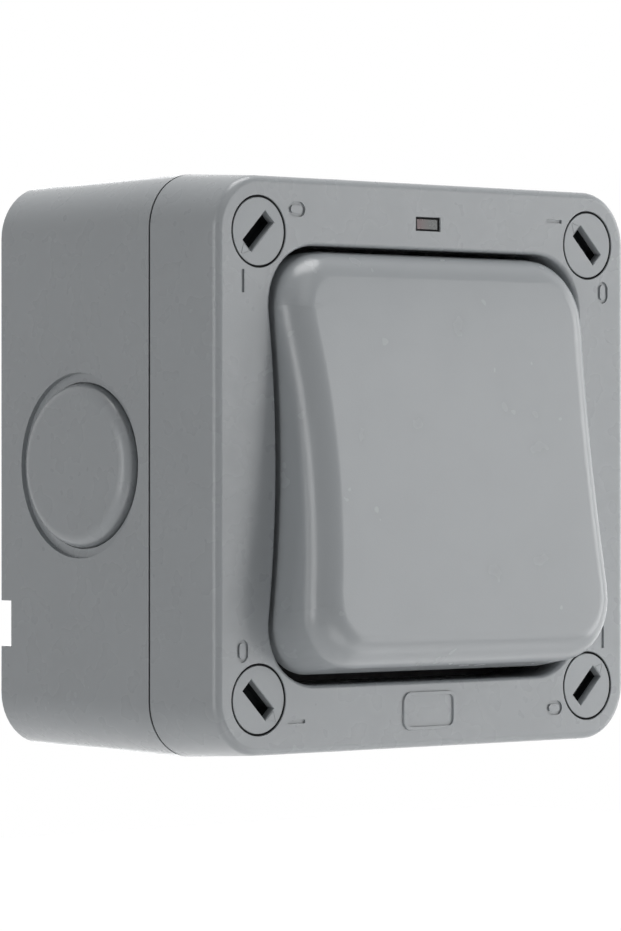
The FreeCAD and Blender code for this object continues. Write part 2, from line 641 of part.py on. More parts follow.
def make_fastener_seals():
    """Ring seals between each fastener's head and the floor of its pocket."""
    ring_r = FASTENER_SHANK_R + SEAL_GAP + SEAL_R
    seal_h = POCKET_FLOOR_H + SEAL_R
    return Part.Compound([Part.makeTorus(ring_r, SEAL_R, at(x, seal_h, z), OUT)
                          for x, z in corners(FASTENER_OFFSET, FASTENER_OFFSET)])


def rocker_skin(inset, edge_r):
    """Closed pillow form of the rocker, level, inset from its outer skin."""
    solid = waisted_block(-ROCKER_SIDE_GAP - inset, -ROCKER_END_GAP - inset,
                          ROCKER_CORNER_R - inset, ROCKER_SKIRT_H, ROCKER_FACE_H + CUT)
    crown = cross_bar(ROCKER_FACE_R - inset, -OPENING_HALF_WIDTH, OPENING_HALF_WIDTH,
                      ROCKER_FACE_H - ROCKER_FACE_R)
    solid = solid.common(crown)
    front = [e for e in solid.Edges if e.BoundBox.YMax < -FACE_H]
    return solid.makeFillet(edge_r, front)


def tilted(solid, axis_h, degrees):
    """The solid turned about an axis along X at a height."""
    turned = solid.copy()
    turned.rotate(at(0, axis_h, 0), X_AXIS, degrees)
    return turned


def make_rocker():
    """Hollow crowned rocker with hollow sides, pivot pins, ribs and its finger."""
    shell = rocker_skin(0, ROCKER_EDGE_R)
    hollow = rocker_skin(ROCKER_WALL, ROCKER_EDGE_R - ROCKER_WALL)
    hollow = hollow.fuse(waisted_block(-ROCKER_SIDE_GAP - ROCKER_WALL,
                                       -ROCKER_END_GAP - ROCKER_WALL,
                                       ROCKER_CORNER_R - ROCKER_WALL,
                                       ROCKER_SKIRT_H - CUT, ROCKER_SKIRT_H + CUT))
    body = shell.cut(hollow)
    pin_end = waist_x() + PIVOT_REACH
    pin_start = waist_x() - ROCKER_SIDE_GAP - ROCKER_WALL
    pins = [cross_bar(PIVOT_R, pin_start, pin_end, ROCKER_AXIS_H),
            cross_bar(PIVOT_R, -pin_end, -pin_start, ROCKER_AXIS_H)]
    tip_h = ROCKER_AXIS_H - FINGER_ARM
    half_width = FINGER_WIDTH / 2
    finger = [block(FINGER_WIDTH, FINGER_T, tip_h, ROCKER_FACE_H - ROCKER_WALL),
              cross_bar(FINGER_TIP_R, -half_width, half_width, tip_h)]
    ribs = [block(ROCKER_RIB_T, 2 * ROCKER_INSIDE_Z, ROCKER_RIB_H, ROCKER_FACE_H, x).common(hollow)
            for x in (-ROCKER_RIB_X, ROCKER_RIB_X)]
    rocker = body.fuse(pins + finger + ribs).removeSplitter()
    return tilted(rocker, ROCKER_AXIS_H, -ROCKER_TILT)


def make_sealing_membrane():
    """Rubber sheet under the rocker, domed in the middle, with a collar round the finger."""
    sheet = waisted_block(MEMBRANE_FLANGE, MEMBRANE_FLANGE, OPENING_CORNER_R + MEMBRANE_FLANGE,
                          FRAME_FRONT_H, WELL_END_H)
    dome = block(MEMBRANE_DOME_WIDTH, MEMBRANE_DOME_HEIGHT, FRAME_FRONT_H, MEMBRANE_DOME_H,
                 corner=MEMBRANE_CORNER_R)
    dome = dome.makeFillet(MEMBRANE_DOME_EDGE_R, edges_at(dome, MEMBRANE_DOME_H, PARTING_SIZE))
    hollow = block(MEMBRANE_DOME_WIDTH - 2 * MEMBRANE_DOME_T,
                   MEMBRANE_DOME_HEIGHT - 2 * MEMBRANE_DOME_T, FRAME_FRONT_H - CUT,
                   MEMBRANE_DOME_H - MEMBRANE_DOME_T, corner=MEMBRANE_CORNER_R - MEMBRANE_DOME_T)
    slot_x = FINGER_WIDTH + 2 * COLLAR_GAP_X
    slot_z = FINGER_T + 2 * COLLAR_GAP_Z
    collar = block(slot_x + 2 * COLLAR_T, slot_z + 2 * COLLAR_T,
                   MEMBRANE_DOME_H - MEMBRANE_DOME_T, MEMBRANE_DOME_H + COLLAR_RISE,
                   corner=COLLAR_CORNER_R)
    slot = block(slot_x, slot_z, FRAME_FRONT_H - CUT, MEMBRANE_DOME_H + COLLAR_RISE + CUT)
    notches = [post(FRAME_EAR_R + MEMBRANE_BOSS_GAP, FRAME_FRONT_H - CUT, WELL_END_H + CUT, x, z)
               for x, z in corners(FRAME_SCREW_X, FRAME_SCREW_Z)]
    return sheet.fuse(dome).cut(hollow).fuse(collar).cut([slot] + notches).removeSplitter()


def make_mounting_frame():
    """Plate that clamps the membrane to the skirt, closes the bearings and holds the housing."""
    plate = waisted_block(MEMBRANE_FLANGE, MEMBRANE_FLANGE, OPENING_CORNER_R + MEMBRANE_FLANGE,
                          FRAME_REAR_H, FRAME_FRONT_H)
    arm = FRAME_SCREW_Z - OPENING_HALF_HEIGHT
    ears = []
    for x, z in corners(FRAME_SCREW_X, FRAME_SCREW_Z):
        ears.append(post(FRAME_EAR_R, FRAME_REAR_H, FRAME_FRONT_H, x, z))
        ears.append(block(2 * FRAME_EAR_R, arm, FRAME_REAR_H, FRAME_FRONT_H, x,
                          math.copysign(FRAME_SCREW_Z - arm / 2, z)))
    tab_t = HOUSING_WALL
    tab_x = HOUSING_WIDTH / 2 - tab_t / 2
    tab_low = DOLLY_AXIS_H + TRUNNION_R + TRUNNION_GAP
    tabs = [block(tab_t, 2 * TRUNNION_R, tab_low, FRAME_REAR_H, x) for x in (-tab_x, tab_x)]
    frame = plate.fuse(ears + tabs)
    removed = [block(FRAME_WINDOW_WIDTH, FRAME_WINDOW_HEIGHT, FRAME_REAR_H - CUT,
                     FRAME_FRONT_H + CUT, corner=FRAME_WINDOW_CORNER_R)]
    for x, z in corners(FRAME_SCREW_X, FRAME_SCREW_Z):
        removed.append(post(FRAME_SCREW_R + SCREW_GAP, FRAME_REAR_H - CUT, FRAME_FRONT_H + CUT, x, z))
    for x, z in corners(MECH_SCREW_X, MECH_SCREW_Z):
        removed.append(post(FRAME_SCREW_R + SCREW_GAP, FRAME_REAR_H - CUT, FRAME_FRONT_H, x, z))
    return frame.cut(removed).removeSplitter()


def make_frame_screws():
    """Four screws that hold the mounting frame to the cover's bosses."""
    return Part.Compound([pan_screw(FRAME_SCREW_R, SCREW_LENGTH, SCREW_HEAD_R, SCREW_HEAD_T,
                                    FRAME_REAR_H, x, z, OUT)
                          for x, z in corners(FRAME_SCREW_X, FRAME_SCREW_Z)])


def terminal_places():
    """Middle of the four terminals."""
    return corners(POLE_X, TERMINAL_Z)


def make_switch_housing():
    """Moulded tub of the two-pole mechanism, open towards the dolly."""
    tub = block(HOUSING_WIDTH, HOUSING_HEIGHT, HOUSING_FLOOR_H, FRAME_REAR_H,
                corner=HOUSING_CORNER_R)
    tub = tub.cut(block(HOUSING_WIDTH - 2 * HOUSING_WALL, HOUSING_HEIGHT - 2 * HOUSING_WALL,
                        HOUSING_INNER_H, FRAME_REAR_H + CUT))
    ears = []
    for x, z in corners(MECH_SCREW_X, MECH_SCREW_Z):
        arm = MECH_SCREW_X - HOUSING_WIDTH / 2
        ears.append(post(MECH_EAR_R, FRAME_REAR_H - MECH_EAR_T, FRAME_REAR_H, x, z))
        ears.append(block(arm, 2 * MECH_EAR_R, FRAME_REAR_H - MECH_EAR_T, FRAME_REAR_H,
                          math.copysign(MECH_SCREW_X - arm / 2, x), z))
    wall = block(POLE_WALL_T, HOUSING_HEIGHT - HOUSING_WALL, HOUSING_INNER_H - CUT, POLE_WALL_H)
    tub = tub.fuse(ears + [wall])
    wire_h = HOUSING_INNER_H + TERMINAL_SEAT_GAP + WIRE_BORE_UP
    removed = []
    for x, z in corners(MECH_SCREW_X, MECH_SCREW_Z):
        removed.append(post(FRAME_SCREW_R + SCREW_GAP, FRAME_REAR_H - MECH_EAR_T - CUT,
                            FRAME_REAR_H + CUT, x, z))
    for x, z in terminal_places():
        removed.append(post(TERMINAL_HEAD_R + DRIVER_HOLE_GAP, HOUSING_FLOOR_H - CUT,
                            HOUSING_INNER_H, x, z))
    for x in (-POLE_X, POLE_X):
        removed.append(Part.makeCylinder(WIRE_BORE_R + DRIVER_HOLE_GAP,
                                         HOUSING_HEIGHT + 2 * CUT,
                                         at(x, wire_h, -HOUSING_HEIGHT / 2 - CUT), Z_AXIS))
    seat_r = TRUNNION_R + TRUNNION_GAP
    removed.append(cross_bar(seat_r, -HOUSING_WIDTH, HOUSING_WIDTH, DOLLY_AXIS_H))
    removed.append(block(2 * HOUSING_WIDTH, 2 * seat_r, DOLLY_AXIS_H, FRAME_REAR_H + CUT))
    return tub.cut(removed).removeSplitter()


def make_mechanism_screws():
    """Four short screws that hold the housing to the mounting frame."""
    seat_h = FRAME_REAR_H - MECH_EAR_T
    return Part.Compound([pan_screw(FRAME_SCREW_R, MECH_SCREW_LENGTH, SCREW_HEAD_R, SCREW_HEAD_T,
                                    seat_h, x, z, OUT)
                          for x, z in corners(MECH_SCREW_X, MECH_SCREW_Z)])


def make_dolly():
    """Inner dolly: barrel with trunnions, the fork and two legs bored for the plungers."""
    inner_x = HOUSING_WIDTH / 2 - HOUSING_WALL
    end = HOUSING_WIDTH / 2 - TRUNNION_END_GAP
    barrel = [cross_bar(BARREL_R, -inner_x + BARREL_END_GAP, inner_x - BARREL_END_GAP,
                        DOLLY_AXIS_H), cross_bar(TRUNNION_R, -end, end, DOLLY_AXIS_H)]
    slot = 2 * (FINGER_TIP_R + FORK_GAP)
    fork_end = DOLLY_AXIS_H + FINGER_ARM + FORK_TIP_EXTRA
    fork = block(FINGER_WIDTH, slot + 2 * FORK_PRONG_T, DOLLY_AXIS_H, fork_end)
    legs = [post(LEG_R, DOLLY_AXIS_H - LEG_LENGTH, DOLLY_AXIS_H, x) for x in (-POLE_X, POLE_X)]
    tip_h = DOLLY_AXIS_H + FINGER_ARM
    mouth = block(FINGER_WIDTH + 2 * CUT, slot, tip_h - FINGER_TIP_R - FORK_BOTTOM_GAP,
                  fork_end + CUT)
    bores = [post(PLUNGER_R + PLUNGER_GAP, DOLLY_AXIS_H - LEG_LENGTH - CUT, DOLLY_AXIS_H, x)
             for x in (-POLE_X, POLE_X)]
    dolly = barrel[0].fuse([barrel[1], fork] + legs).cut([mouth] + bores).removeSplitter()
    return tilted(dolly, DOLLY_AXIS_H, ROCKER_TILT)


def make_contact_plungers():
    """Two round-nosed plungers in the dolly's legs."""
    plungers = []
    nose_h = PLUNGER_TIP_H + PLUNGER_R
    for x in (-POLE_X, POLE_X):
        rod = post(PLUNGER_R, nose_h, PLUNGER_TIP_H + PLUNGER_LENGTH, x)
        rod = rod.fuse(Part.makeSphere(PLUNGER_R, at(x, nose_h, 0))).removeSplitter()
        plungers.append(tilted(rod, DOLLY_AXIS_H, ROCKER_TILT))
    return Part.Compound(plungers)


def spring_section(coil_r):
    """Six-sided wire section at the start of the coil."""
    points = []
    for side in range(SPRING_WIRE_SIDES + 1):
        angle = 2 * math.pi * (side + 0.5) / SPRING_WIRE_SIDES
        points.append(V(coil_r + SPRING_WIRE_R * math.cos(angle), 0,
                        SPRING_WIRE_R * math.sin(angle)))
    return Part.makePolygon(points)


def make_plunger_springs():
    """Compression springs between each plunger and the end of its bore."""
    low = PLUNGER_TIP_H + PLUNGER_LENGTH + SPRING_WIRE_R
    length = DOLLY_AXIS_H - SPRING_WIRE_R - low
    coil_r = PLUNGER_R - SPRING_WIRE_R
    springs = []
    for x in (-POLE_X, POLE_X):
        helix = Part.makeHelix(length / SPRING_TURNS, length, coil_r)
        coil = Part.Wire(helix.Edges).makePipeShell([spring_section(coil_r)], True, True)
        coil.rotate(V(0, 0, 0), X_AXIS, 90)
        coil.translate(at(x, low, 0))
        springs.append(tilted(coil, DOLLY_AXIS_H, ROCKER_TILT))
    return Part.Compound(springs)


def make_contact_bridge(x):
    """See-saw copper bridge with its silver tip, at the open end of its swing."""
    strip = block(STRIP_WIDTH, BRIDGE_LENGTH, BRIDGE_PIVOT_H, BRIDGE_PIVOT_H + BRIDGE_T, x)
    notch_width = BLADE_T + 2 * (EAR_GAP + EAR_ROCK_GAP)
    notch_depth = EAR_T + EAR_GAP
    notches = [block(notch_depth, notch_width, BRIDGE_PIVOT_H - CUT,
                     BRIDGE_PIVOT_H + BRIDGE_T + CUT,
                     x + side * (STRIP_WIDTH / 2 - notch_depth / 2)) for side in (-1, 1)]
    groove = cross_bar(BLADE_T / 2 + BLADE_GAP, x - STRIP_WIDTH, x + STRIP_WIDTH, BRIDGE_PIVOT_H)
    tip = post(CONTACT_R, BRIDGE_PIVOT_H - CONTACT_T, BRIDGE_PIVOT_H, x, -CONTACT_Z)
    bridge = strip.cut(notches + [groove]).fuse(tip)
    return tilted(bridge, BRIDGE_PIVOT_H, -BRIDGE_TILT)


def terminal_block(x, z):
    """Brass terminal with its wire bore, screw hole and strip to the contact."""
    rear_h = HOUSING_INNER_H + TERMINAL_SEAT_GAP
    side = math.copysign(1, z)
    body = block(TERMINAL_WIDTH, TERMINAL_DEPTH, rear_h, rear_h + TERMINAL_T, x, z,
                 TERMINAL_CORNER_R)
    wire = Part.makeCylinder(WIRE_BORE_R, TERMINAL_DEPTH + 2 * CUT,
                             at(x, rear_h + WIRE_BORE_UP, z - TERMINAL_DEPTH / 2 - CUT), Z_AXIS)
    screw = post(TERMINAL_SCREW_R + SCREW_GAP, rear_h - CUT, rear_h + WIRE_BORE_UP, x, z)
    inner_z = side * (TERMINAL_Z - TERMINAL_DEPTH / 2)
    return body, [wire, screw], inner_z, rear_h


def make_load_terminal(x):
    """Upper terminal, whose strip ends in the blade that the bridge rocks on."""
    body, holes, inner_z, rear_h = terminal_block(x, TERMINAL_Z)
    length = inner_z + BLADE_T / 2 + STRIP_ROOT
    strip = block(STRIP_WIDTH, length, rear_h, rear_h + STRIP_T, x,
                  inner_z + STRIP_ROOT - length / 2)
    blade = block(STRIP_WIDTH, BLADE_T, rear_h, BRIDGE_PIVOT_H, x)
    crown = cross_bar(BLADE_T / 2, x - STRIP_WIDTH / 2, x + STRIP_WIDTH / 2, BRIDGE_PIVOT_H)
    ears = [block(EAR_T, BLADE_T, rear_h, BRIDGE_PIVOT_H + BRIDGE_T,
                  x + side * (STRIP_WIDTH / 2 - EAR_T / 2)) for side in (-1, 1)]
    return body.fuse([strip, blade, crown] + ears).cut(holes).removeSplitter()


def make_supply_terminal(x):
    """Lower terminal, whose strip carries the fixed contact."""
    body, holes, inner_z, rear_h = terminal_block(x, -TERMINAL_Z)
    end_z = -CONTACT_Z + CONTACT_R + STRIP_END
    length = end_z - inner_z + STRIP_ROOT
    strip = block(STRIP_WIDTH, length, rear_h, rear_h + STRIP_T, x, end_z - length / 2)
    drop = CONTACT_Z * math.sin(math.radians(BRIDGE_TILT))
    closed_h = BRIDGE_PIVOT_H - CONTACT_T / math.cos(math.radians(BRIDGE_TILT)) - drop
    pad_top = closed_h - CONTACT_R * math.sin(math.radians(BRIDGE_TILT)) - CONTACT_AIR
    pad = post(CONTACT_R, rear_h, pad_top, x, -CONTACT_Z)
    return body.fuse([strip, pad]).cut(holes).removeSplitter()


def make_terminal_screws():
    """Four terminal screws, driven from the wall side."""
    seat_h = HOUSING_INNER_H + TERMINAL_SEAT_GAP
    return Part.Compound([pan_screw(TERMINAL_SCREW_R, TERMINAL_SCREW_LENGTH, TERMINAL_HEAD_R,
                                    TERMINAL_HEAD_T, seat_h, x, z, OUT)
                          for x, z in terminal_places()])


def make_earth_terminal():
    """Brass earth terminal on its post in the box."""
    rear_h = FLOOR_TOP_H + EARTH_POST_T
    body = block(EARTH_SIZE, EARTH_SIZE, rear_h, rear_h + EARTH_T, 0, EARTH_Z, TERMINAL_CORNER_R)
    wire = cross_bar(EARTH_BORE_R, -EARTH_SIZE, EARTH_SIZE, rear_h + EARTH_T / 2, EARTH_Z)
    screw = post(EARTH_SCREW_R + SCREW_GAP, rear_h - CUT, rear_h + EARTH_T + CUT, 0, EARTH_Z)
    return body.cut([wire, screw]).removeSplitter()


def make_earth_screw():
    """Screw that clamps the earth wire and holds the terminal to its post."""
    seat_h = FLOOR_TOP_H + EARTH_POST_T + EARTH_T
    return pan_screw(EARTH_SCREW_R - SCREW_GAP, EARTH_T + EARTH_POST_T - EARTH_TIP_GAP,
                     EARTH_HEAD_R, SCREW_HEAD_T, seat_h, 0, EARTH_Z, IN)


def build_parts():
    """Every node of the switch by name."""
    parts = {
        "back_box": make_back_box(),
        "cover_gasket": make_cover_gasket(),
        "front_cover": make_front_cover(),
        "indicator_lens": make_indicator_lens(),
        "neon_lamp": make_neon_lamp(),
        "lamp_leads": make_lamp_leads(),
        "lamp_resistor": make_lamp_resistor(),
        "fastener_seals": make_fastener_seals(),
        "rocker": make_rocker(),
        "sealing_membrane": make_sealing_membrane(),
        "mounting_frame": make_mounting_frame(),
        "frame_screws": make_frame_screws(),
        "switch_housing": make_switch_housing(),
        "mechanism_screws": make_mechanism_screws(),
        "dolly": make_dolly(),
        "contact_plungers": make_contact_plungers(),
        "plunger_springs": make_plunger_springs(),
        "line_contact_bridge": make_contact_bridge(-POLE_X),
        "neutral_contact_bridge": make_contact_bridge(POLE_X),
        "line_load_terminal": make_load_terminal(-POLE_X),
        "neutral_load_terminal": make_load_terminal(POLE_X),
        "line_supply_terminal": make_supply_terminal(-POLE_X),
        "neutral_supply_terminal": make_supply_terminal(POLE_X),
        "terminal_screws": make_terminal_screws(),
        "earth_terminal": make_earth_terminal(),
        "earth_terminal_screw": make_earth_screw(),
    }
    for name, x, z, index in fastener_places():
        parts["cover_fastener_" + name] = make_fastener(x, z, index)
    return parts


os.makedirs("parts", exist_ok=True)
for node, shape in build_parts().items():
    shape.exportStep("parts/" + node + ".step")
    print(node, len(shape.Solids), "solids", round(shape.Volume, 1), "mm3", shape.isValid())
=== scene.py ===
"""Looks of an outdoor weatherproof rocker switch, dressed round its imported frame.

The frame gives every place, every moving body and the inner parts. The outer mouldings, which
carry the light, are modelled again here with soft edges, and every piece gets its finish.
A height is measured out from the wall, so a point at a height has y = -height.
"""

import logging
import math
from dataclasses import dataclass
from enum import Enum
from typing import Callable

import bmesh
import bpy
from mathutils import Matrix, Vector


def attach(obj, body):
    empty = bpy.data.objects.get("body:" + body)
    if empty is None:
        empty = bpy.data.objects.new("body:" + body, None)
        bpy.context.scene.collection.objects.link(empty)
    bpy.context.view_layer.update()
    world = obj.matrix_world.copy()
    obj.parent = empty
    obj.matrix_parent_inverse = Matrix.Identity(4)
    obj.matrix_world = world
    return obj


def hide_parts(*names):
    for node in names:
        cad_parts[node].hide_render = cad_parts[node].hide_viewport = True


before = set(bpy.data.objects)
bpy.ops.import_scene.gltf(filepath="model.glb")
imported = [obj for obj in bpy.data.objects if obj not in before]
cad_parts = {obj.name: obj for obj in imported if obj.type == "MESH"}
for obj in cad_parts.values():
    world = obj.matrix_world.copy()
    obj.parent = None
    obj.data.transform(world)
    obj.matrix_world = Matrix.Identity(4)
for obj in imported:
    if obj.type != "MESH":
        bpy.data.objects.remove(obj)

LOG = logging.getLogger("switch")
MM = 0.001
TOL = 0.01 * MM
FINE_TOL = TOL / 5
SMOOTH_ANGLE = 34.0
# An edge runs along the depth where it spans this many times more depth than breadth.
STEEP = 5.0
# Share of a face's normal along the depth: for a flat front, most of a front, and a side.
FLAT, FRONTAL, SIDEWAYS = 0.99, 0.9, 0.3
# Most of a noise lies in this range, which is spread over the range wanted.
NOISE_LOW, NOISE_HIGH = 0.3, 0.7
Colour = tuple[float, float, float]
Place = tuple[float, float]
Span = tuple[float, float]
Test = Callable[[object], bool]


def deselect_all() -> None:
    """Leaves nothing selected, in object mode."""
    if bpy.context.object and bpy.context.object.mode != "OBJECT":
        bpy.ops.object.mode_set(mode="OBJECT")
    bpy.ops.object.select_all(action="DESELECT")


def at(x: float, height: float, z: float) -> Vector:
    """Point at a height out from the wall."""
    return Vector((x, -height, z))


class Mark(Enum):
    """The two position marks beside each fastener."""

    OPEN = "0"
    LOCKED = "I"


class Pick(Enum):
    """What an edit-mode selection holds."""

    VERTS = "VERT"
    EDGES = "EDGE"
    FACES = "FACE"


class Stock:
    """A piece while it is shaped: a primitive first, then edit-mode operators."""

    def __init__(self, obj: bpy.types.Object, name: str) -> None:
        """Takes over a fresh primitive and puts its place and size into its mesh.

        Args:
            obj: The fresh primitive.
            name: Name of the piece.
        """
        self.obj = obj
        obj.name = name
        obj.data.name = name
        self.settle()

    @classmethod
    def block(cls, name: str, size: tuple[float, float, float], centre: Vector) -> "Stock":
        """Rectangular stock.

        Args:
            name: Name of the piece.
            size: Width, depth and height.
            centre: Middle of the block.

        Returns:
            The new stock.
        """
        deselect_all()
        bpy.ops.mesh.primitive_cube_add(size=1.0, location=centre, scale=size)
        return cls(bpy.context.object, name)

    @classmethod
    def rod(cls, name: str, radius: float, start: Vector, end: Vector, sides: int = 48) -> "Stock":
        """Round stock between two points.

        Args:
            name: Name of the piece.
            radius: Radius of the rod.
            start: Middle of one end.
            end: Middle of the other end.
            sides: Number of sides.

        Returns:
            The new stock.
        """
        deselect_all()
        along = end - start
        turn = Vector((0, 0, 1)).rotation_difference(along).to_euler()
        bpy.ops.mesh.primitive_cylinder_add(vertices=sides, radius=radius, depth=along.length,
                                            location=(start + end) / 2, rotation=turn)
        return cls(bpy.context.object, name)

    def only_this(self) -> None:
        """Makes this piece the only selected and active one, in object mode."""
        deselect_all()
        self.obj.select_set(True)
        bpy.context.view_layer.objects.active = self.obj

    def settle(self) -> None:
        """Puts the object's place, turn and size into its mesh."""
        self.only_this()
        bpy.ops.object.transform_apply(location=True, rotation=True, scale=True)

    def pick(self, kind: Pick, test: Test) -> int:
        """Selects the vertices, edges or faces that pass a test, in edit mode.

        Args:
            kind: What is selected.
            test: Says whether one element belongs to the selection.

        Returns:
            The number of elements selected.
        """
        if self.obj.mode != "EDIT":
            self.only_this()
            bpy.ops.object.mode_set(mode="EDIT")
        bpy.ops.mesh.select_mode(type=kind.value)
        bpy.ops.mesh.select_all(action="DESELECT")
        mesh = bmesh.from_edit_mesh(self.obj.data)
        mesh.normal_update()
        group = {Pick.VERTS: mesh.verts, Pick.EDGES: mesh.edges, Pick.FACES: mesh.faces}[kind]
        chosen = [element for element in group if test(element)]
        for element in chosen:
            element.select_set(True)
        mesh.select_flush_mode()
        bmesh.update_edit_mesh(self.obj.data)
        return len(chosen)

    def bevel(self, offset: float, segments: int, test: Test) -> None:
        """Rounds the edges that pass a test.

        Args:
            offset: Distance from the old edge to the rounding's ends.
            segments: Number of strips in the rounding.
            test: Says whether an edge is rounded.
        """
        if self.pick(Pick.EDGES, test):
            bpy.ops.mesh.bevel(offset=offset, offset_type="OFFSET", segments=segments,
                               profile=0.5, affect="EDGES", clamp_overlap=False)

    def resize(self, factors: tuple[float, float, float], centre: Vector, test: Test) -> None:
        """Scales the vertices that pass a test about a centre."""
        if self.pick(Pick.VERTS, test):
            bpy.ops.transform.resize(value=factors, center_override=centre)

    def shift(self, by: Vector, test: Test) -> None:
        """Moves the vertices that pass a test."""
        if self.pick(Pick.VERTS, test):
            bpy.ops.transform.translate(value=by)

    def section(self, point: Vector, normal: Vector) -> None:
        """Cuts all faces along a plane and keeps both sides."""
        self.pick(Pick.FACES, lambda face: True)
        bpy.ops.mesh.bisect(plane_co=point, plane_no=normal)

    def turn(self, degrees: float, axis: str, about: Vector) -> None:
        """Turns the whole piece about an axis through a point.

        Args:
            degrees: Angle of the turn.
            axis: X, Y or Z.
            about: Point that stays in place.
        """
        self.only_this()
        spin = Matrix.Rotation(math.radians(degrees), 4, axis)
        self.obj.matrix_world = Matrix.Translation(about) @ spin @ Matrix.Translation(-about)
        self.settle()

    def copy(self, name: str) -> "Stock":
        """Copies the piece with a mesh of its own.

        Args:
            name: Name of the copy.

        Returns:
            The copy.
        """
        self.only_this()
        bpy.ops.object.duplicate(linked=False)
        return Stock(bpy.context.object, name)

    def combine(self, other: "Stock", operation: str) -> None:
        """Joins or cuts with another piece, which is used up.

        Args:
            other: The second piece.
            operation: UNION or DIFFERENCE.
        """
        self.only_this()
        mod = self.obj.modifiers.new("combine", "BOOLEAN")
        mod.operation = operation
        mod.solver = "EXACT"
        mod.object = other.obj
        bpy.ops.object.modifier_apply(modifier=mod.name)
        bpy.data.objects.remove(other.obj)

    def add(self, other: "Stock") -> None:
        """Grows the piece by another one."""
        self.combine(other, "UNION")

    def cut(self, other: "Stock") -> None:
        """Takes another piece's space out."""
        self.combine(other, "DIFFERENCE")

    def merge(self, other: "Stock") -> None:
        """Takes another piece into this object as a separate shell.

        Args:
            other: The second piece, which is used up.
        """
        deselect_all()
        other.obj.select_set(True)
        self.obj.select_set(True)
        bpy.context.view_layer.objects.active = self.obj
        bpy.ops.object.join()

    def smooth(self) -> None:
        """Shades the roundings smooth and keeps flat faces flat."""
        self.pick(Pick.VERTS, lambda vert: True)
        bpy.ops.mesh.remove_doubles(threshold=FINE_TOL)
        self.only_this()
        bpy.ops.object.shade_smooth_by_angle(angle=math.radians(SMOOTH_ANGLE))
        mod = self.obj.modifiers.new("weighted", "WEIGHTED_NORMAL")
        mod.keep_sharp = True
        mod.weight = 50
        bpy.ops.object.modifier_apply(modifier=mod.name)
        deselect_all()

    def dress(self, finish: "Finish", body: str, slot: str) -> None:
        """Gives the piece its finish and says which body it moves with.

        Args:
            finish: The finish.
            body: Name of the body that carries it.
            slot: Name of a material slot; not used.
        """
        self.obj.data.materials.clear()
        self.obj.data.materials.append(finish.material())
        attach(self.obj, body)
        LOG.info("%s: %d faces, rides on %s", self.obj.name, len(self.obj.data.polygons), body)

    def paint(self, finish: "Finish", test: Test) -> None:
        """Gives a second finish to the faces that pass a test.

        Args:
            finish: The second finish.
            test: Says whether a face takes it.
        """
        self.only_this()
        self.obj.data.materials.append(finish.material())
        number = len(self.obj.data.materials) - 1
        for face in self.obj.data.polygons:
            if test(face):
                face.material_index = number


def along_depth(edge: bmesh.types.BMEdge) -> bool:
    """True for an edge that runs mainly out from the wall."""
    span = edge.verts[0].co - edge.verts[1].co
    return abs(span.y) > STEEP * max(abs(span.x), abs(span.z), TOL)


def at_height(height: float) -> Test:
    """Test for the edges or vertices that lie at a height.

    Args:
        height: Height out from the wall.

    Returns:
        The test.
    """
    def test(element: object) -> bool:
        """True for an edge or vertex at that height."""
        verts = getattr(element, "verts", None) or [element]
        return all(abs(v.co.y + height) < TOL for v in verts)
    return test


def at_reach(reach: float) -> Test:
    """Test for the edges that lie at a distance to the left or right of the middle."""
    return lambda edge: all(abs(abs(v.co.x) - reach) < TOL for v in edge.verts)


def rim_at(height: float, inside: Callable[[Vector], bool]) -> Test:
    """Test for the edges where a front face ends in a wall.

    Args:
        height: Height of the front face.
        inside: Says whether an edge's middle is in the region meant.

    Returns:
        The test for one edge.
    """
    flat = at_height(height)

    def test(edge: bmesh.types.BMEdge) -> bool:
        """Test for an edge between the front face and a wall.

        Args:
            edge: The edge.

        Returns:
            True for such an edge in the region meant.
        """
        if not flat(edge) or len(edge.link_faces) != 2:
            return False
        fronts = [abs(face.normal.y) > FLAT for face in edge.link_faces]
        return sum(fronts) == 1 and inside((edge.verts[0].co + edge.verts[1].co) / 2)
    return test


def near(x: float, z: float, radius: float) -> Callable[[Vector], bool]:
    """Test for points within a radius of an axis that stands out from the wall."""
    return lambda point: math.hypot(point.x - x, point.z - z) < radius


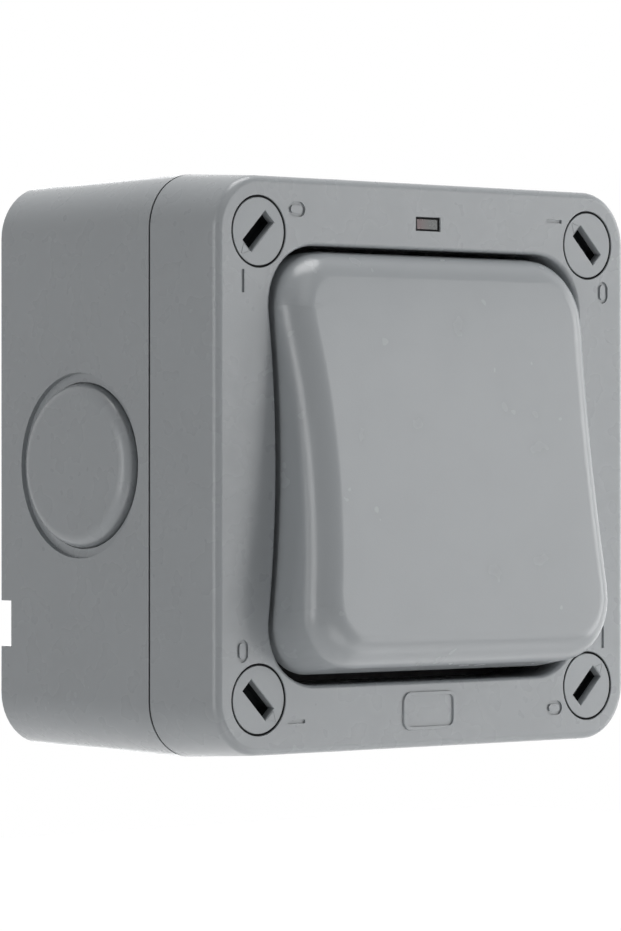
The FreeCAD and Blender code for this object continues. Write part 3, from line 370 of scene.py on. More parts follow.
class NodeSheet:
    """A material's nodes, added and wired by name."""

    def __init__(self, name: str) -> None:
        """Starts an empty sheet that ends in a principled shader.

        Args:
            name: Name of the material.
        """
        self.mat = bpy.data.materials.new(name)
        self.mat.use_nodes = True
        self.nodes = self.mat.node_tree.nodes
        self.links = self.mat.node_tree.links
        self.shader = self.nodes["Principled BSDF"]
        self.coords = self.nodes.new("ShaderNodeTexCoord").outputs["Object"]

    def noise(self, size: float, detail: float = 2.0, rough: float = 0.5) -> bpy.types.NodeSocket:
        """Adds noise.

        Args:
            size: Size of its features, in metres.
            detail: Number of finer layers.
            rough: Weight of the finer layers.

        Returns:
            The noise's output.
        """
        node = self.nodes.new("ShaderNodeTexNoise")
        node.inputs["Scale"].default_value = 1.0 / size
        node.inputs["Detail"].default_value = detail
        node.inputs["Roughness"].default_value = rough
        self.links.new(self.coords, node.inputs["Vector"])
        return node.outputs["Fac"]

    def stretched_noise(self, size: float, stretch: Colour) -> bpy.types.NodeSocket:
        """Adds noise drawn out along an axis, for drawn metal.

        Args:
            size: Size of its features, in metres.
            stretch: Factor along each axis.

        Returns:
            The noise's output.
        """
        mapping = self.nodes.new("ShaderNodeMapping")
        mapping.inputs["Scale"].default_value = stretch
        self.links.new(self.coords, mapping.inputs["Vector"])
        node = self.nodes.new("ShaderNodeTexNoise")
        node.inputs["Scale"].default_value = 1.0 / size
        self.links.new(mapping.outputs["Vector"], node.inputs["Vector"])
        return node.outputs["Fac"]

    def spread(self, source: bpy.types.NodeSocket, low: float,
               high: float) -> bpy.types.NodeSocket:
        """Maps a source to a range.

        Args:
            source: The output to map.
            low: Least result.
            high: Greatest result.

        Returns:
            The mapped output.
        """
        node = self.nodes.new("ShaderNodeMapRange")
        node.inputs["From Min"].default_value = NOISE_LOW
        node.inputs["From Max"].default_value = NOISE_HIGH
        node.inputs["To Min"].default_value = low
        node.inputs["To Max"].default_value = high
        self.links.new(source, node.inputs["Value"])
        return node.outputs["Result"]

    def colour(self, source: bpy.types.NodeSocket, low: Colour, high: Colour) -> None:
        """Varies the base colour between two tones.

        Args:
            source: The output that chooses the tone.
            low: Tone where it is low.
            high: Tone where it is high.
        """
        ramp = self.nodes.new("ShaderNodeValToRGB")
        ramp.color_ramp.elements[0].position = NOISE_LOW
        ramp.color_ramp.elements[1].position = NOISE_HIGH
        ramp.color_ramp.elements[0].color = (*low, 1.0)
        ramp.color_ramp.elements[1].color = (*high, 1.0)
        self.links.new(source, ramp.inputs["Fac"])
        self.links.new(ramp.outputs["Color"], self.shader.inputs["Base Color"])

    def roughness(self, source: bpy.types.NodeSocket) -> None:
        """Feeds the shader's roughness."""
        self.links.new(source, self.shader.inputs["Roughness"])

    def bump(self, source: bpy.types.NodeSocket, depth: float, strength: float) -> None:
        """Adds fine relief.

        Args:
            source: The output taken as height.
            depth: Depth in metres.
            strength: Share of the relief that shows.
        """
        node = self.nodes.new("ShaderNodeBump")
        node.inputs["Distance"].default_value = depth
        node.inputs["Strength"].default_value = strength
        self.links.new(source, node.inputs["Height"])
        self.links.new(node.outputs["Normal"], self.shader.inputs["Normal"])

    def set(self, socket: str, value: float | tuple[float, ...]) -> None:
        """Sets one constant on the shader."""
        self.shader.inputs[socket].default_value = value


def tone(colour: Colour, factor: float) -> Colour:
    """Returns a colour made lighter or darker."""
    return tuple(min(1.0, channel * factor) for channel in colour)


@dataclass(frozen=True)
class Finish:
    """A surface finish; each kind says how its material is made."""

    name: str
    colour: Colour

    def build(self, sheet: NodeSheet) -> None:
        """Fills a fresh sheet of nodes."""
        raise NotImplementedError

    def material(self) -> bpy.types.Material:
        """Makes the material on its first use.

        Returns:
            The material.
        """
        known = bpy.data.materials.get(self.name)
        if known:
            return known
        sheet = NodeSheet(self.name)
        self.build(sheet)
        return sheet.mat


@dataclass(frozen=True)
class MouldedPlastic(Finish):
    """Satin moulding with a fine spark-eroded grain."""

    rough: float = 0.28
    grain: float = 0.32 * MM
    depth: float = 0.02 * MM
    tone_drift: float = 0.015
    gloss_drift: float = 0.025

    def build(self, sheet: NodeSheet) -> None:
        """Grain in the relief, slow drift in the gloss and the tone.

        Args:
            sheet: The material's fresh sheet of nodes.
        """
        cloud = sheet.noise(size=14 * MM, detail=3.0)
        sheet.colour(cloud, tone(self.colour, 1 - self.tone_drift),
                     tone(self.colour, 1 + self.tone_drift))
        sheet.roughness(sheet.spread(sheet.noise(size=5 * MM), self.rough - self.gloss_drift,
                                     self.rough + self.gloss_drift))
        sheet.bump(sheet.noise(self.grain, detail=3.0, rough=0.6), self.depth, strength=0.6)


@dataclass(frozen=True)
class SoftRubber(Finish):
    """Matt rubber with a slight bloom."""

    gloss: float = 0.5
    tones: tuple[float, float] = (0.8, 1.3)
    rough: tuple[float, float] = (0.7, 0.85)

    def build(self, sheet: NodeSheet) -> None:
        """Powdery tone and a dull, faintly uneven skin.

        Args:
            sheet: The material's fresh sheet of nodes.
        """
        sheet.set("Specular IOR Level", self.gloss)
        sheet.colour(sheet.noise(size=6 * MM, detail=4.0), tone(self.colour, self.tones[0]),
                     tone(self.colour, self.tones[1]))
        sheet.roughness(sheet.spread(sheet.noise(size=2 * MM), *self.rough))
        sheet.bump(sheet.noise(size=0.5 * MM), depth=0.02 * MM, strength=0.5)


@dataclass(frozen=True)
class WornMetal(Finish):
    """Plated, rolled or turned metal."""

    rough: float = 0.3
    stretch: Colour = (1.0, 1.0, 12.0)
    tones: tuple[float, float] = (0.92, 1.06)
    gloss_drift: tuple[float, float] = (0.08, 0.1)

    def build(self, sheet: NodeSheet) -> None:
        """Drawn-out scratches in the gloss and the relief.

        Args:
            sheet: The material's fresh sheet of nodes.
        """
        sheet.set("Metallic", 1.0)
        sheet.colour(sheet.noise(size=3 * MM, detail=3.0), tone(self.colour, self.tones[0]),
                     tone(self.colour, self.tones[1]))
        scratch = sheet.stretched_noise(size=0.6 * MM, stretch=self.stretch)
        sheet.roughness(sheet.spread(scratch, self.rough - self.gloss_drift[0],
                                     self.rough + self.gloss_drift[1]))
        sheet.bump(scratch, depth=0.01 * MM, strength=0.4)


@dataclass(frozen=True)
class ClearPlastic(Finish):
    """Clear moulding or glass that lets the piece behind it show."""

    rough: float = 0.08
    ior: float = 1.49
    passing: float = 0.9
    darkest: float = 0.97
    gloss_drift: float = 0.06

    def build(self, sheet: NodeSheet) -> None:
        """Nearly clear body with a faint waviness.

        Args:
            sheet: The material's fresh sheet of nodes.
        """
        sheet.set("IOR", self.ior)
        sheet.set("Transmission Weight", self.passing)
        sheet.colour(sheet.noise(size=4 * MM), tone(self.colour, self.darkest), self.colour)
        sheet.roughness(sheet.spread(sheet.noise(size=1.5 * MM), self.rough,
                                     self.rough + self.gloss_drift))
        sheet.bump(sheet.noise(size=1.2 * MM), depth=0.01 * MM, strength=0.3)


@dataclass(frozen=True)
class PaintedShadeLens(Finish):
    """Clear lens whose colour is darkened as painted shade for the dark inside behind it, with a
    painted view of the reddish lamp over its left part.
    """

    # Reddish tone painted over the lens's left part, standing in for the lamp seen through it; it
    # is base colour, no glow.
    glow: Colour = (0.125, 0.066, 0.072)
    lamp_tint_end: float = -0.6 * MM
    fade: float = 2.4 * MM
    ior: float = 1.49
    passing: float = 0.2
    rough: tuple[float, float] = (0.22, 0.3)

    def build(self, sheet: NodeSheet) -> None:
        """Painted reddish tint of the lamp behind, fading along X, over a body darkened as painted
        shade, with a faint waviness.

        Args:
            sheet: The material's fresh sheet of nodes.
        """
        split = sheet.nodes.new("ShaderNodeSeparateXYZ")
        sheet.links.new(sheet.coords, split.inputs["Vector"])
        place = sheet.nodes.new("ShaderNodeMapRange")
        place.inputs["From Min"].default_value = self.lamp_tint_end - self.fade / 2
        place.inputs["From Max"].default_value = self.lamp_tint_end + self.fade / 2
        place.inputs["To Min"].default_value = NOISE_LOW
        place.inputs["To Max"].default_value = NOISE_HIGH
        sheet.links.new(split.outputs["X"], place.inputs["Value"])
        sheet.colour(place.outputs["Result"], self.glow, self.colour)
        sheet.set("IOR", self.ior)
        sheet.set("Transmission Weight", self.passing)
        sheet.roughness(sheet.spread(sheet.noise(size=1.5 * MM), *self.rough))
        sheet.bump(sheet.noise(size=0.8 * MM), depth=0.02 * MM, strength=0.5)


GREY: Colour = (0.335, 0.354, 0.369)
CASE_GREY = MouldedPlastic("case_grey_satin", GREY)
ROCKER_GREY = MouldedPlastic("rocker_grey_satin", tone(GREY, 1.01), rough=0.25)
HEAD_GREY = MouldedPlastic("fastener_grey_satin", GREY, rough=0.33)
# Near-black, nearly glossless finish for the lower walls and floor of each slot: painted shade
# that stands in for the deep shade there, not dirt.
SLOT_PAINTED_SHADE = SoftRubber("fastener_slot_painted_shade", (0.01, 0.011, 0.012), gloss=0.1)
FRAME_GREY = MouldedPlastic("frame_dark_moulding", (0.05, 0.05, 0.052), rough=0.55)
HOUSING_WHITE = MouldedPlastic("housing_white_moulding", (0.62, 0.62, 0.6), rough=0.45)
DOLLY_IVORY = MouldedPlastic("dolly_slippery_moulding", (0.7, 0.68, 0.62), rough=0.35)
LEAD_RED = MouldedPlastic("lead_red_sleeve", (0.5, 0.03, 0.02), rough=0.4, grain=1 * MM)
RESISTOR_TAN = MouldedPlastic("resistor_tan_lacquer", (0.42, 0.28, 0.14), rough=0.3)
SEAL_BLACK = SoftRubber("seal_black_rubber", (0.022, 0.022, 0.023))
# Dull near-black, almost without gloss, for pieces put into gaps as painted shade: the sleeves
# round the heads, the lip in the joint and the seat round the lens.
SHADE_BLACK = SoftRubber("painted_shade_dull_black", (0.008, 0.008, 0.009), gloss=0.1)
SCREW_ZINC = WornMetal("screw_zinc_plate", (0.62, 0.62, 0.58), rough=0.32)
SPRING_WIRE = WornMetal("spring_drawn_wire", (0.5, 0.5, 0.5), rough=0.28)
TERMINAL_BRASS = WornMetal("terminal_turned_brass", (0.7, 0.5, 0.2), rough=0.3)
BRIDGE_COPPER = WornMetal("bridge_rolled_copper", (0.72, 0.4, 0.25), rough=0.33)
# Dark colour and low passing: painted shade for the dark inside seen through a clear lens.
LENS_PAINTED_SHADE = PaintedShadeLens("lens_clear_painted_shade", (0.085, 0.093, 0.09))
LAMP_GLASS = ClearPlastic("lamp_glass_reddish", (0.78, 0.36, 0.3), passing=0.35)

NODE_FINISHES: dict[str, Finish] = {
    "back_box": CASE_GREY,
    "front_cover": CASE_GREY,
    "cover_gasket": SEAL_BLACK,
    "fastener_seals": SEAL_BLACK,
    "sealing_membrane": SEAL_BLACK,
    "indicator_lens": LENS_PAINTED_SHADE,
    "neon_lamp": LAMP_GLASS,
    "lamp_leads": LEAD_RED,
    "lamp_resistor": RESISTOR_TAN,
    "mounting_frame": FRAME_GREY,
    "frame_screws": SCREW_ZINC,
    "mechanism_screws": SCREW_ZINC,
    "switch_housing": HOUSING_WHITE,
    "dolly": DOLLY_IVORY,
    "contact_plungers": TERMINAL_BRASS,
    "plunger_springs": SPRING_WIRE,
    "line_contact_bridge": BRIDGE_COPPER,
    "neutral_contact_bridge": BRIDGE_COPPER,
    "line_load_terminal": TERMINAL_BRASS,
    "neutral_load_terminal": TERMINAL_BRASS,
    "line_supply_terminal": TERMINAL_BRASS,
    "neutral_supply_terminal": TERMINAL_BRASS,
    "terminal_screws": SCREW_ZINC,
    "earth_terminal": TERMINAL_BRASS,
    "earth_terminal_screw": SCREW_ZINC,
    "rocker": ROCKER_GREY,
    "cover_fastener_top_left": HEAD_GREY,
    "cover_fastener_top_right": HEAD_GREY,
    "cover_fastener_bottom_right": HEAD_GREY,
    "cover_fastener_bottom_left": HEAD_GREY,
}


def dress_frame_nodes() -> None:
    """Gives every carried-over node of the frame its finish."""
    for name, finish in NODE_FINISHES.items():
        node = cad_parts[name]
        material = finish.material()
        for slot in node.material_slots:
            slot.material = material
        if not node.material_slots:
            node.data.materials.append(material)
        LOG.info("%s: %s", name, finish.name)


def post(name: str, radius: float, place: Place, span: Span, sides: int = 48) -> Stock:
    """Makes round stock that stands out from the wall.

    Args:
        name: Name of the piece.
        radius: Radius of the post.
        place: X and Z of its axis.
        span: Heights of its rear and front ends.
        sides: Number of sides.

    Returns:
        The stock.
    """
    (x, z), (rear, front) = place, span
    return Stock.rod(name, radius, at(x, rear, z), at(x, front, z), sides)


def slab(name: str, size: tuple[float, float], place: Place, span: Span) -> Stock:
    """Makes a rectangular slab that lies parallel to the wall.

    Args:
        name: Name of the piece.
        size: Its size along X and Z.
        place: X and Z of its middle.
        span: Heights of its rear and front faces.

    Returns:
        The stock.
    """
    (x, z), (rear, front) = place, span
    return Stock.block(name, (size[0], front - rear, size[1]), at(x, (front + rear) / 2, z))


def four_corners(half_x: float, half_z: float) -> list[Place]:
    """Places of a rectangular pattern round the middle."""
    return [(sx * half_x, sz * half_z) for sx in (-1, 1) for sz in (-1, 1)]


# Sizes and places that several pieces share.
MIDDLE: Place = (0.0, 0.0)
JOINT_SIZE = 97.0 * MM
JOINT_HEIGHT = 39.7 * MM
CASE_CORNER = 9.2 * MM
FACE_HEIGHT = 55.9 * MM
AXIS_HEIGHT = 51.0 * MM
FASTENER_OFFSET = 38.5 * MM
CORNER_STEPS = 12
QUARTER_TURNS = (0, 90, 180, 270)
FASTENER_SIDES: dict[str, tuple[int, int]] = {
    "top_left": (-1, 1),
    "top_right": (1, 1),
    "bottom_right": (1, -1),
    "bottom_left": (-1, -1),
}
FASTENER_PLACES = four_corners(FASTENER_OFFSET, FASTENER_OFFSET)


@dataclass(frozen=True)
class WaistedOutline:
    """Straight ends and hollow sides, as the rocker and its opening have.

    The half width is where the hollow sides would meet the end lines, and the corner run is
    the distance from such a corner to the ends of its rounding.
    """

    half_width: float
    half_height: float
    corner_run: float
    waist: float = 3.22 * MM
    corner_steps: int = 12
    side_steps: int = 5
    side_reach: float = 0.995

    def side_at(self, z: float) -> float:
        """Half width at a height z."""
        radius = (self.half_height ** 2 + self.waist ** 2) / (2 * self.waist)
        return self.half_width - self.waist + radius - math.sqrt(radius ** 2 - z ** 2)

    def stations(self) -> list[float]:
        """Heights at which the hollow sides bend, between the corner roundings.

        Returns:
            The heights, from the lowest to the highest.
        """
        reach = self.half_height - self.corner_run
        return [reach * step / self.side_steps * self.side_reach
                for step in range(-self.side_steps, self.side_steps + 1)]

    def stock(self, name: str, rear: float, front: float) -> Stock:
        """Makes upright stock of this outline.

        Args:
            name: Name of the piece.
            rear: Height of its rear end.
            front: Height of its front end.

        Returns:
            The stock, with its corners rounded.
        """
        stock = slab(name, (2 * self.half_width, 2 * self.half_height), MIDDLE, (rear, front))
        for z in self.stations():
            stock.section(at(0, 0, z), Vector((0, 0, 1)))
        for z in self.stations():
            factor = self.side_at(z) / self.half_width
            stock.resize((factor, 1, 1), Vector(), lambda v, z=z: abs(v.co.z - z) < TOL)
        end = self.half_height - TOL
        stock.bevel(self.corner_run, self.corner_steps,
                    lambda e: along_depth(e) and abs(e.verts[0].co.z) > end)
        return stock


OPENING = WaistedOutline(37.67 * MM, 36.5 * MM, 11.9 * MM)
SKIRT_OUTSIDE = WaistedOutline(39.27 * MM, 38.25 * MM, 13.8 * MM)
ROCKER_OUTLINE = WaistedOutline(36.67 * MM, 34.92 * MM, 9.6 * MM)


def front_rim(edge: bmesh.types.BMEdge) -> bool:
    """Test for an edge between a front-facing face and a side.

    Args:
        edge: The edge.

    Returns:
        True for such an edge.
    """
    if len(edge.link_faces) != 2:
        return False
    outs = sorted(-face.normal.y for face in edge.link_faces)
    return outs[0] < SIDEWAYS and outs[1] > FRONTAL


@dataclass
class Rocker:
    """Hollow crowned rocker, tilted to the end of its throw that the photograph shows.

    The finger has a width and a thickness. The end sections let the front's curve follow the
    crown near both ends, and the corner growth is what the corner run gains at the front.
    """

    outline: WaistedOutline = ROCKER_OUTLINE
    skirt_height: float = 49.5 * MM
    crown_height: float = 64.8 * MM
    crown_radius: float = 355.0 * MM
    edge_round: float = 5.0 * MM
    corner_growth: float = 3.2 * MM
    wall: float = 2.2 * MM
    corner_radius: float = 9.0 * MM
    round_steps: int = 12
    end_sections: tuple[float, ...] = (26.0 * MM, 28.0 * MM, 30.0 * MM)
    fine_round: float = 0.3 * MM
    tilt: float = 8.0
    pin_radius: float = 1.5 * MM
    pin_end: float = 35.95 * MM
    pin_round: float = 0.25 * MM
    finger_size: tuple[float, float] = (14.0 * MM, 2.2 * MM)
    finger_tip_radius: float = 1.8 * MM
    finger_arm: float = 8.8 * MM
    rib_x: float = 17.0 * MM
    rib_thickness: float = 1.4 * MM
    rib_rear: float = 51.5 * MM
    rib_round: float = 0.2 * MM

    def crown_drop(self, z: float) -> float:
        """How far the crowned front lies behind its middle at a height z."""
        return self.crown_radius - math.sqrt(self.crown_radius ** 2 - z ** 2)

    def skin(self, name: str, inset: float, rear: float) -> Stock:
        """Makes a closed pillow form, level.

        Args:
            name: Name of the piece.
            inset: Distance inside the outer skin.
            rear: Height of its flat rear.

        Returns:
            The form, with a crowned front and rounded front edges.
        """
        run = self.outline.corner_run * (self.corner_radius - inset) / self.corner_radius
        outline = WaistedOutline(self.outline.half_width - inset,
                                 self.outline.half_height - inset, run)
        skin = outline.stock(name, rear, self.crown_height - inset)
        self.widen_corners(skin, outline, self.crown_height - inset)
        skin.bevel(self.edge_round - inset, self.round_steps, front_rim)
        for z in self.end_sections:
            skin.section(at(0, 0, z), Vector((0, 0, 1)))
            skin.section(at(0, 0, -z), Vector((0, 0, 1)))
        skin.only_this()
        crowned = self.crown_height - self.edge_round - TOL
        for z in sorted({round(v.co.z, 6) for v in skin.obj.data.vertices}):
            skin.shift(at(0, -self.crown_drop(z), 0),
                       lambda v, z=z: round(v.co.z, 6) == z and v.co.y < -crowned)
        return skin

    def widen_corners(self, skin: Stock, outline: WaistedOutline, front: float) -> None:
        """Widens the corner roundings towards the front.

        Args:
            skin: The stock, before its front edge is rounded.
            outline: The outline that it has at its rear.
            front: Height of its front.
        """
        run = outline.corner_run + self.corner_growth
        start = outline.half_height - run
        bend, last = outline.stations()[-2:]
        slope = (outline.side_at(last) - outline.side_at(bend)) / (last - bend)
        side = outline.side_at(bend) + slope * (start - bend)
        lean = slope * run
        middle = outline.half_width - run - lean
        for sign in (-1, 1):
            skin.section(at(sign * (outline.half_width - run), 0, 0), Vector((1, 0, 0)))
            skin.section(at(0, 0, sign * start), Vector((0, 0, 1)))
        skin.only_this()
        at_front = at_height(front)
        for x, z in sorted({(round(abs(v.co.x), 7), round(abs(v.co.z), 7))
                            for v in skin.obj.data.vertices}):
            up = (z - start) / run
            out = (x - middle - up * lean) / (side - middle)
            reach = math.hypot(up, out)
            if min(up, out) > 0 and reach > 1:
                new_x = middle + (x - middle) / reach
                new_z = start + (z - start) / reach
                skin.resize((new_x / x, 1, new_z / z), Vector(),
                            lambda v, x=x, z=z: at_front(v)
                            and abs(abs(v.co.x) - x) < FINE_TOL
                            and abs(abs(v.co.z) - z) < FINE_TOL)

    def shell(self) -> Stock:
        """Makes the outer skin, hollowed from the rear.

        Returns:
            The shell.
        """
        shell = self.skin("rocker_shell", 0.0, self.skirt_height)
        shell.cut(self.skin("rocker_hollow", self.wall, self.skirt_height - MM))
        rear = at_height(self.skirt_height)
        shell.bevel(self.fine_round, 2, lambda e: rear(e) and len(e.link_faces) == 2
                    and any(abs(f.normal.y) < SIDEWAYS for f in e.link_faces))
        return shell

    def pins(self) -> list[Stock]:
        """Makes the two pivot pins.

        Returns:
            The pins, the left one first.
        """
        root = self.outline.half_width - self.outline.waist - self.wall / 2
        made = []
        for side, name in ((-1, "left"), (1, "right")):
            pin = Stock.rod(f"rocker_pin_{name}", self.pin_radius,
                            at(side * root, AXIS_HEIGHT, 0),
                            at(side * self.pin_end, AXIS_HEIGHT, 0), sides=40)
            pin.bevel(self.pin_round, 3, at_reach(self.pin_end))
            made.append(pin)
        return made

    def ribs(self) -> list[Stock]:
        """Makes the finger and the two stiffening ribs behind the front.

        Returns:
            The finger's blade and bead, and the ribs.
        """
        width, thickness = self.finger_size
        tip = AXIS_HEIGHT - self.finger_arm
        top = self.crown_height - self.wall
        blade = slab("rocker_finger", (width, thickness), MIDDLE, (tip, top))
        blade.bevel(self.fine_round, 2, along_depth)
        bead = Stock.rod("rocker_finger_tip", self.finger_tip_radius, at(-width / 2, tip, 0),
                         at(width / 2, tip, 0), sides=40)
        bead.bevel(self.fine_round, 2, at_reach(width / 2))
        made = [blade, bead]
        length = 2 * (self.outline.half_height - self.wall)
        height = self.crown_height - self.wall - self.crown_drop(length / 2)
        for x in (-self.rib_x, self.rib_x):
            rib = slab("rocker_rib", (self.rib_thickness, length), (x, 0.0),
                       (self.rib_rear, height))
            rib.bevel(self.rib_round, 2, at_height(self.rib_rear))
            made.append(rib)
        return made

    def build(self) -> None:
        """Builds the rocker, sets its tilt and dresses it."""
        rocker = self.shell()
        for part in self.pins() + self.ribs():
            rocker.merge(part)
        rocker.turn(-self.tilt, "X", at(0, AXIS_HEIGHT, 0))
        rocker.smooth()
        rocker.dress(ROCKER_GREY, "rocker", "rocker_grey")
        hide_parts("rocker")


def tapered(name: str, size: float, rear: float, front_size: float, front: float,
            corner: float) -> Stock:
    """Makes square stock with moulding draft and rounded corners.

    Args:
        name: Name of the piece.
        size: Outline at its rear.
        rear: Height of its rear.
        front_size: Outline at its front.
        front: Height of its front.
        corner: Radius of the four corners.

    Returns:
        The stock.
    """
    stock = slab(name, (size, size), MIDDLE, (rear, front))
    factor = front_size / size
    stock.resize((factor, 1, factor), Vector(), at_height(front))
    stock.bevel(corner, CORNER_STEPS, along_depth)
    return stock


@dataclass
class BackBox:
    """Box with its knockouts, rear recess, gasket groove, pillars and fixing bosses.

    The floor lies between two heights. The rim and the web line have a width and a depth, and
    the groove has its distance from the outside first. The notch has a width, a depth and the
    z of its middle. Pillars and bosses have a radius and the height of their front, bores and
    rooms a radius and the heights of their ends, and the rear line its two radii.
    """

    rear_size: float = 95.85 * MM
    wall: float = 3.0 * MM
    floor: tuple[float, float] = (4.0 * MM, 6.5 * MM)
    rim: tuple[float, float] = (4.8 * MM, 4.0 * MM)
    groove: tuple[float, float, float] = (1.2 * MM, 2.4 * MM, 1.8 * MM)
    notch: tuple[float, float, float] = (7.8 * MM, 2.9 * MM, -27.0 * MM)
    rear_edge: float = 0.25 * MM
    fixing_offset: float = 30.15 * MM
    pillar: tuple[float, float] = (7.5 * MM, 37.0 * MM)
    pillar_bore: tuple[float, Span] = (2.9 * MM, (31 * MM, 38 * MM))
    lug_room: tuple[float, Span] = (5.0 * MM, (27 * MM, 33 * MM))
    fixing_boss: tuple[float, float] = (4.2 * MM, 9.0 * MM)
    fixing_hole: tuple[float, Span] = (2.25 * MM, (3 * MM, 10 * MM))
    earth_post: tuple[float, float, float] = (8 * MM, 4.5 * MM, 8 * MM)
    earth_middle: tuple[float, float] = (7.75 * MM, -33 * MM)
    earth_hole: tuple[float, float] = (2.0 * MM, 11 * MM)
    rear_line: tuple[float, float] = (10.2 * MM, 9.5 * MM)
    overlap: float = 0.5 * MM
    boss_root: float = 0.4 * MM
    disc_root: float = 0.3 * MM
    web_overlap: float = 0.2 * MM
    knockout_height: float = 21.3 * MM
    recess_radius: float = 15.6 * MM
    recess_depth: float = 1.15 * MM
    web_line: tuple[float, float] = (0.22 * MM, 0.9 * MM)
    disc_radius: float = 13.85 * MM
    disc_proud: float = 1.3 * MM
    disc_round: float = 2.4 * MM
    recess_edge: float = 0.12 * MM
    search: float = 0.1 * MM

    def size_at(self, height: float) -> float:
        """Outer size of the box at a height."""
        return self.rear_size + (JOINT_SIZE - self.rear_size) * height / JOINT_HEIGHT

    def shell(self) -> Stock:
        """Makes walls, floor, rim and rear recess.

        Returns:
            The shell.
        """
        shell = tapered("back_box_shell", self.rear_size, 0, JOINT_SIZE, JOINT_HEIGHT,
                        CASE_CORNER)
        low, high = self.floor
        rim_width, rim_depth = self.rim
        rim = JOINT_HEIGHT - rim_depth
        inner = CASE_CORNER - self.wall
        shell.cut(tapered("room", self.size_at(high) - 2 * self.wall, high,
                          self.size_at(rim) - 2 * self.wall, rim, inner))
        mouth = JOINT_SIZE - 2 * rim_width
        shell.cut(tapered("mouth", mouth, rim - self.overlap, mouth, JOINT_HEIGHT + MM,
                          CASE_CORNER - rim_width))
        recess = self.rear_size - 2 * self.wall
        shell.cut(tapered("recess", recess, -MM, recess, low, inner))
        return shell

    def gasket_groove(self) -> Stock:
        """Makes the space of the groove round the rim.

        Returns:
            The ring.
        """
        lip, width, depth = self.groove
        outer = JOINT_SIZE - 2 * lip
        rear = JOINT_HEIGHT - depth
        front = JOINT_HEIGHT + MM
        ring = tapered("gasket_groove", outer, rear, outer, front, CASE_CORNER - lip)
        inner = outer - 2 * width
        ring.cut(tapered("groove_middle", inner, rear - MM, inner, front + MM,
                         CASE_CORNER - lip - width))
        return ring

    def pillars(self) -> list[Stock]:
        """Makes the fastener pillars, fixing bosses and the earth post.

        Returns:
            The solids to add to the shell.
        """
        low, high = self.floor
        radius, front = self.pillar
        made = [post("pillar", radius, place, (high - MM, front), sides=56)
                for place in FASTENER_PLACES]
        radius, front = self.fixing_boss
        made += [post("fixing_boss", radius, place, (low + self.boss_root, front), sides=40)
                 for place in four_corners(self.fixing_offset, self.fixing_offset)]
        height, z = self.earth_middle
        return made + [Stock.block("earth_post", self.earth_post, at(0, height, z))]

    def holes(self) -> list[Stock]:
        """Makes the spaces of pillars, fixings, earth screw, notches and rear knockout.

        Returns:
            The spaces to take out.
        """
        low, high = self.floor
        made = [self.gasket_groove()]
        for place in FASTENER_PLACES:
            for name, (radius, span), sides in (("pillar_bore", self.pillar_bore, 40),
                                                ("lug_room", self.lug_room, 48)):
                made.append(post(name, radius, place, span, sides))
        radius, span = self.fixing_hole
        for place in four_corners(self.fixing_offset, self.fixing_offset):
            made.append(post("fixing_hole", radius, place, span, sides=32))
        radius, front = self.earth_hole
        made.append(post("earth_hole", radius, (0.0, self.earth_middle[1]), (high, front),
                         sides=32))
        width, depth, z = self.notch
        made.append(Stock.block("rear_notch", (self.rear_size + 4 * MM, depth + MM, width),
                                at(0, (depth - MM) / 2, z)))
        outside, inside = self.rear_line
        line = post("rear_line", outside, MIDDLE, (low - MM, low + MM), sides=72)
        line.cut(post("rear_disc", inside, MIDDLE, (low - 2 * MM, low + 2 * MM), sides=72))
        made.append(line)
        return made

    def knockout_recess(self, turn: float) -> Stock:
        """Makes the space of one knockout's recess and its thin line.

        Args:
            turn: Angle of the side about Y, in degrees, from the right side.

        Returns:
            The space to take out.
        """
        side = self.size_at(self.knockout_height) / 2
        recess = Stock.rod("knockout_recess", self.recess_radius,
                           at(side - self.recess_depth, self.knockout_height, 0),
                           at(side + MM, self.knockout_height, 0), sides=96)
        width, depth = self.web_line
        floor = side - self.recess_depth
        recess.add(Stock.rod("web_line", self.disc_radius + width,
                             at(floor - depth, self.knockout_height, 0),
                             at(floor + self.web_overlap, self.knockout_height, 0), sides=96))
        recess.turn(turn, "Y", Vector())
        return recess

    def knockout_disc(self, turn: float) -> Stock:
        """Makes one side's proud disc with its rounded rim.

        Args:
            turn: Angle of the side about Y, in degrees, from the right side.

        Returns:
            The disc.
        """
        side = self.size_at(self.knockout_height) / 2
        front = side + self.disc_proud
        disc = Stock.rod("knockout_disc", self.disc_radius,
                         at(side - self.recess_depth - self.web_line[1] - self.disc_root,
                            self.knockout_height, 0),
                         at(front, self.knockout_height, 0), sides=96)
        disc.bevel(self.disc_round, 10, lambda e: all(v.co.x > front - TOL for v in e.verts))
        disc.turn(turn, "Y", Vector())
        return disc

    def recess_rim(self, edge: bmesh.types.BMEdge) -> bool:
        """Test for the edge where a knockout's recess opens into the side.

        Args:
            edge: The edge.

        Returns:
            True for such an edge.
        """
        middle = (edge.verts[0].co + edge.verts[1].co) / 2
        across = max(abs(middle.x), abs(middle.z))
        along = min(abs(middle.x), abs(middle.z))
        radius = math.hypot(middle.y + self.knockout_height, along)
        side = self.size_at(-middle.y) / 2
        return (abs(radius - self.recess_radius) < self.search
                and abs(across - side) < self.search)

    def build(self) -> None:
        """Builds and dresses the box."""
        box = self.shell()
        for part in self.pillars():
            box.add(part)
        for space in self.holes():
            box.cut(space)
        for turn in QUARTER_TURNS:
            box.cut(self.knockout_recess(turn))
        box.bevel(self.recess_edge, 2, self.recess_rim)
        box.bevel(self.rear_edge, 2, rim_at(0, lambda p: True))
        for turn in QUARTER_TURNS:
            box.merge(self.knockout_disc(turn))
        box.smooth()
        box.dress(CASE_GREY, "enclosure", "enclosure_grey")
        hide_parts("back_box")


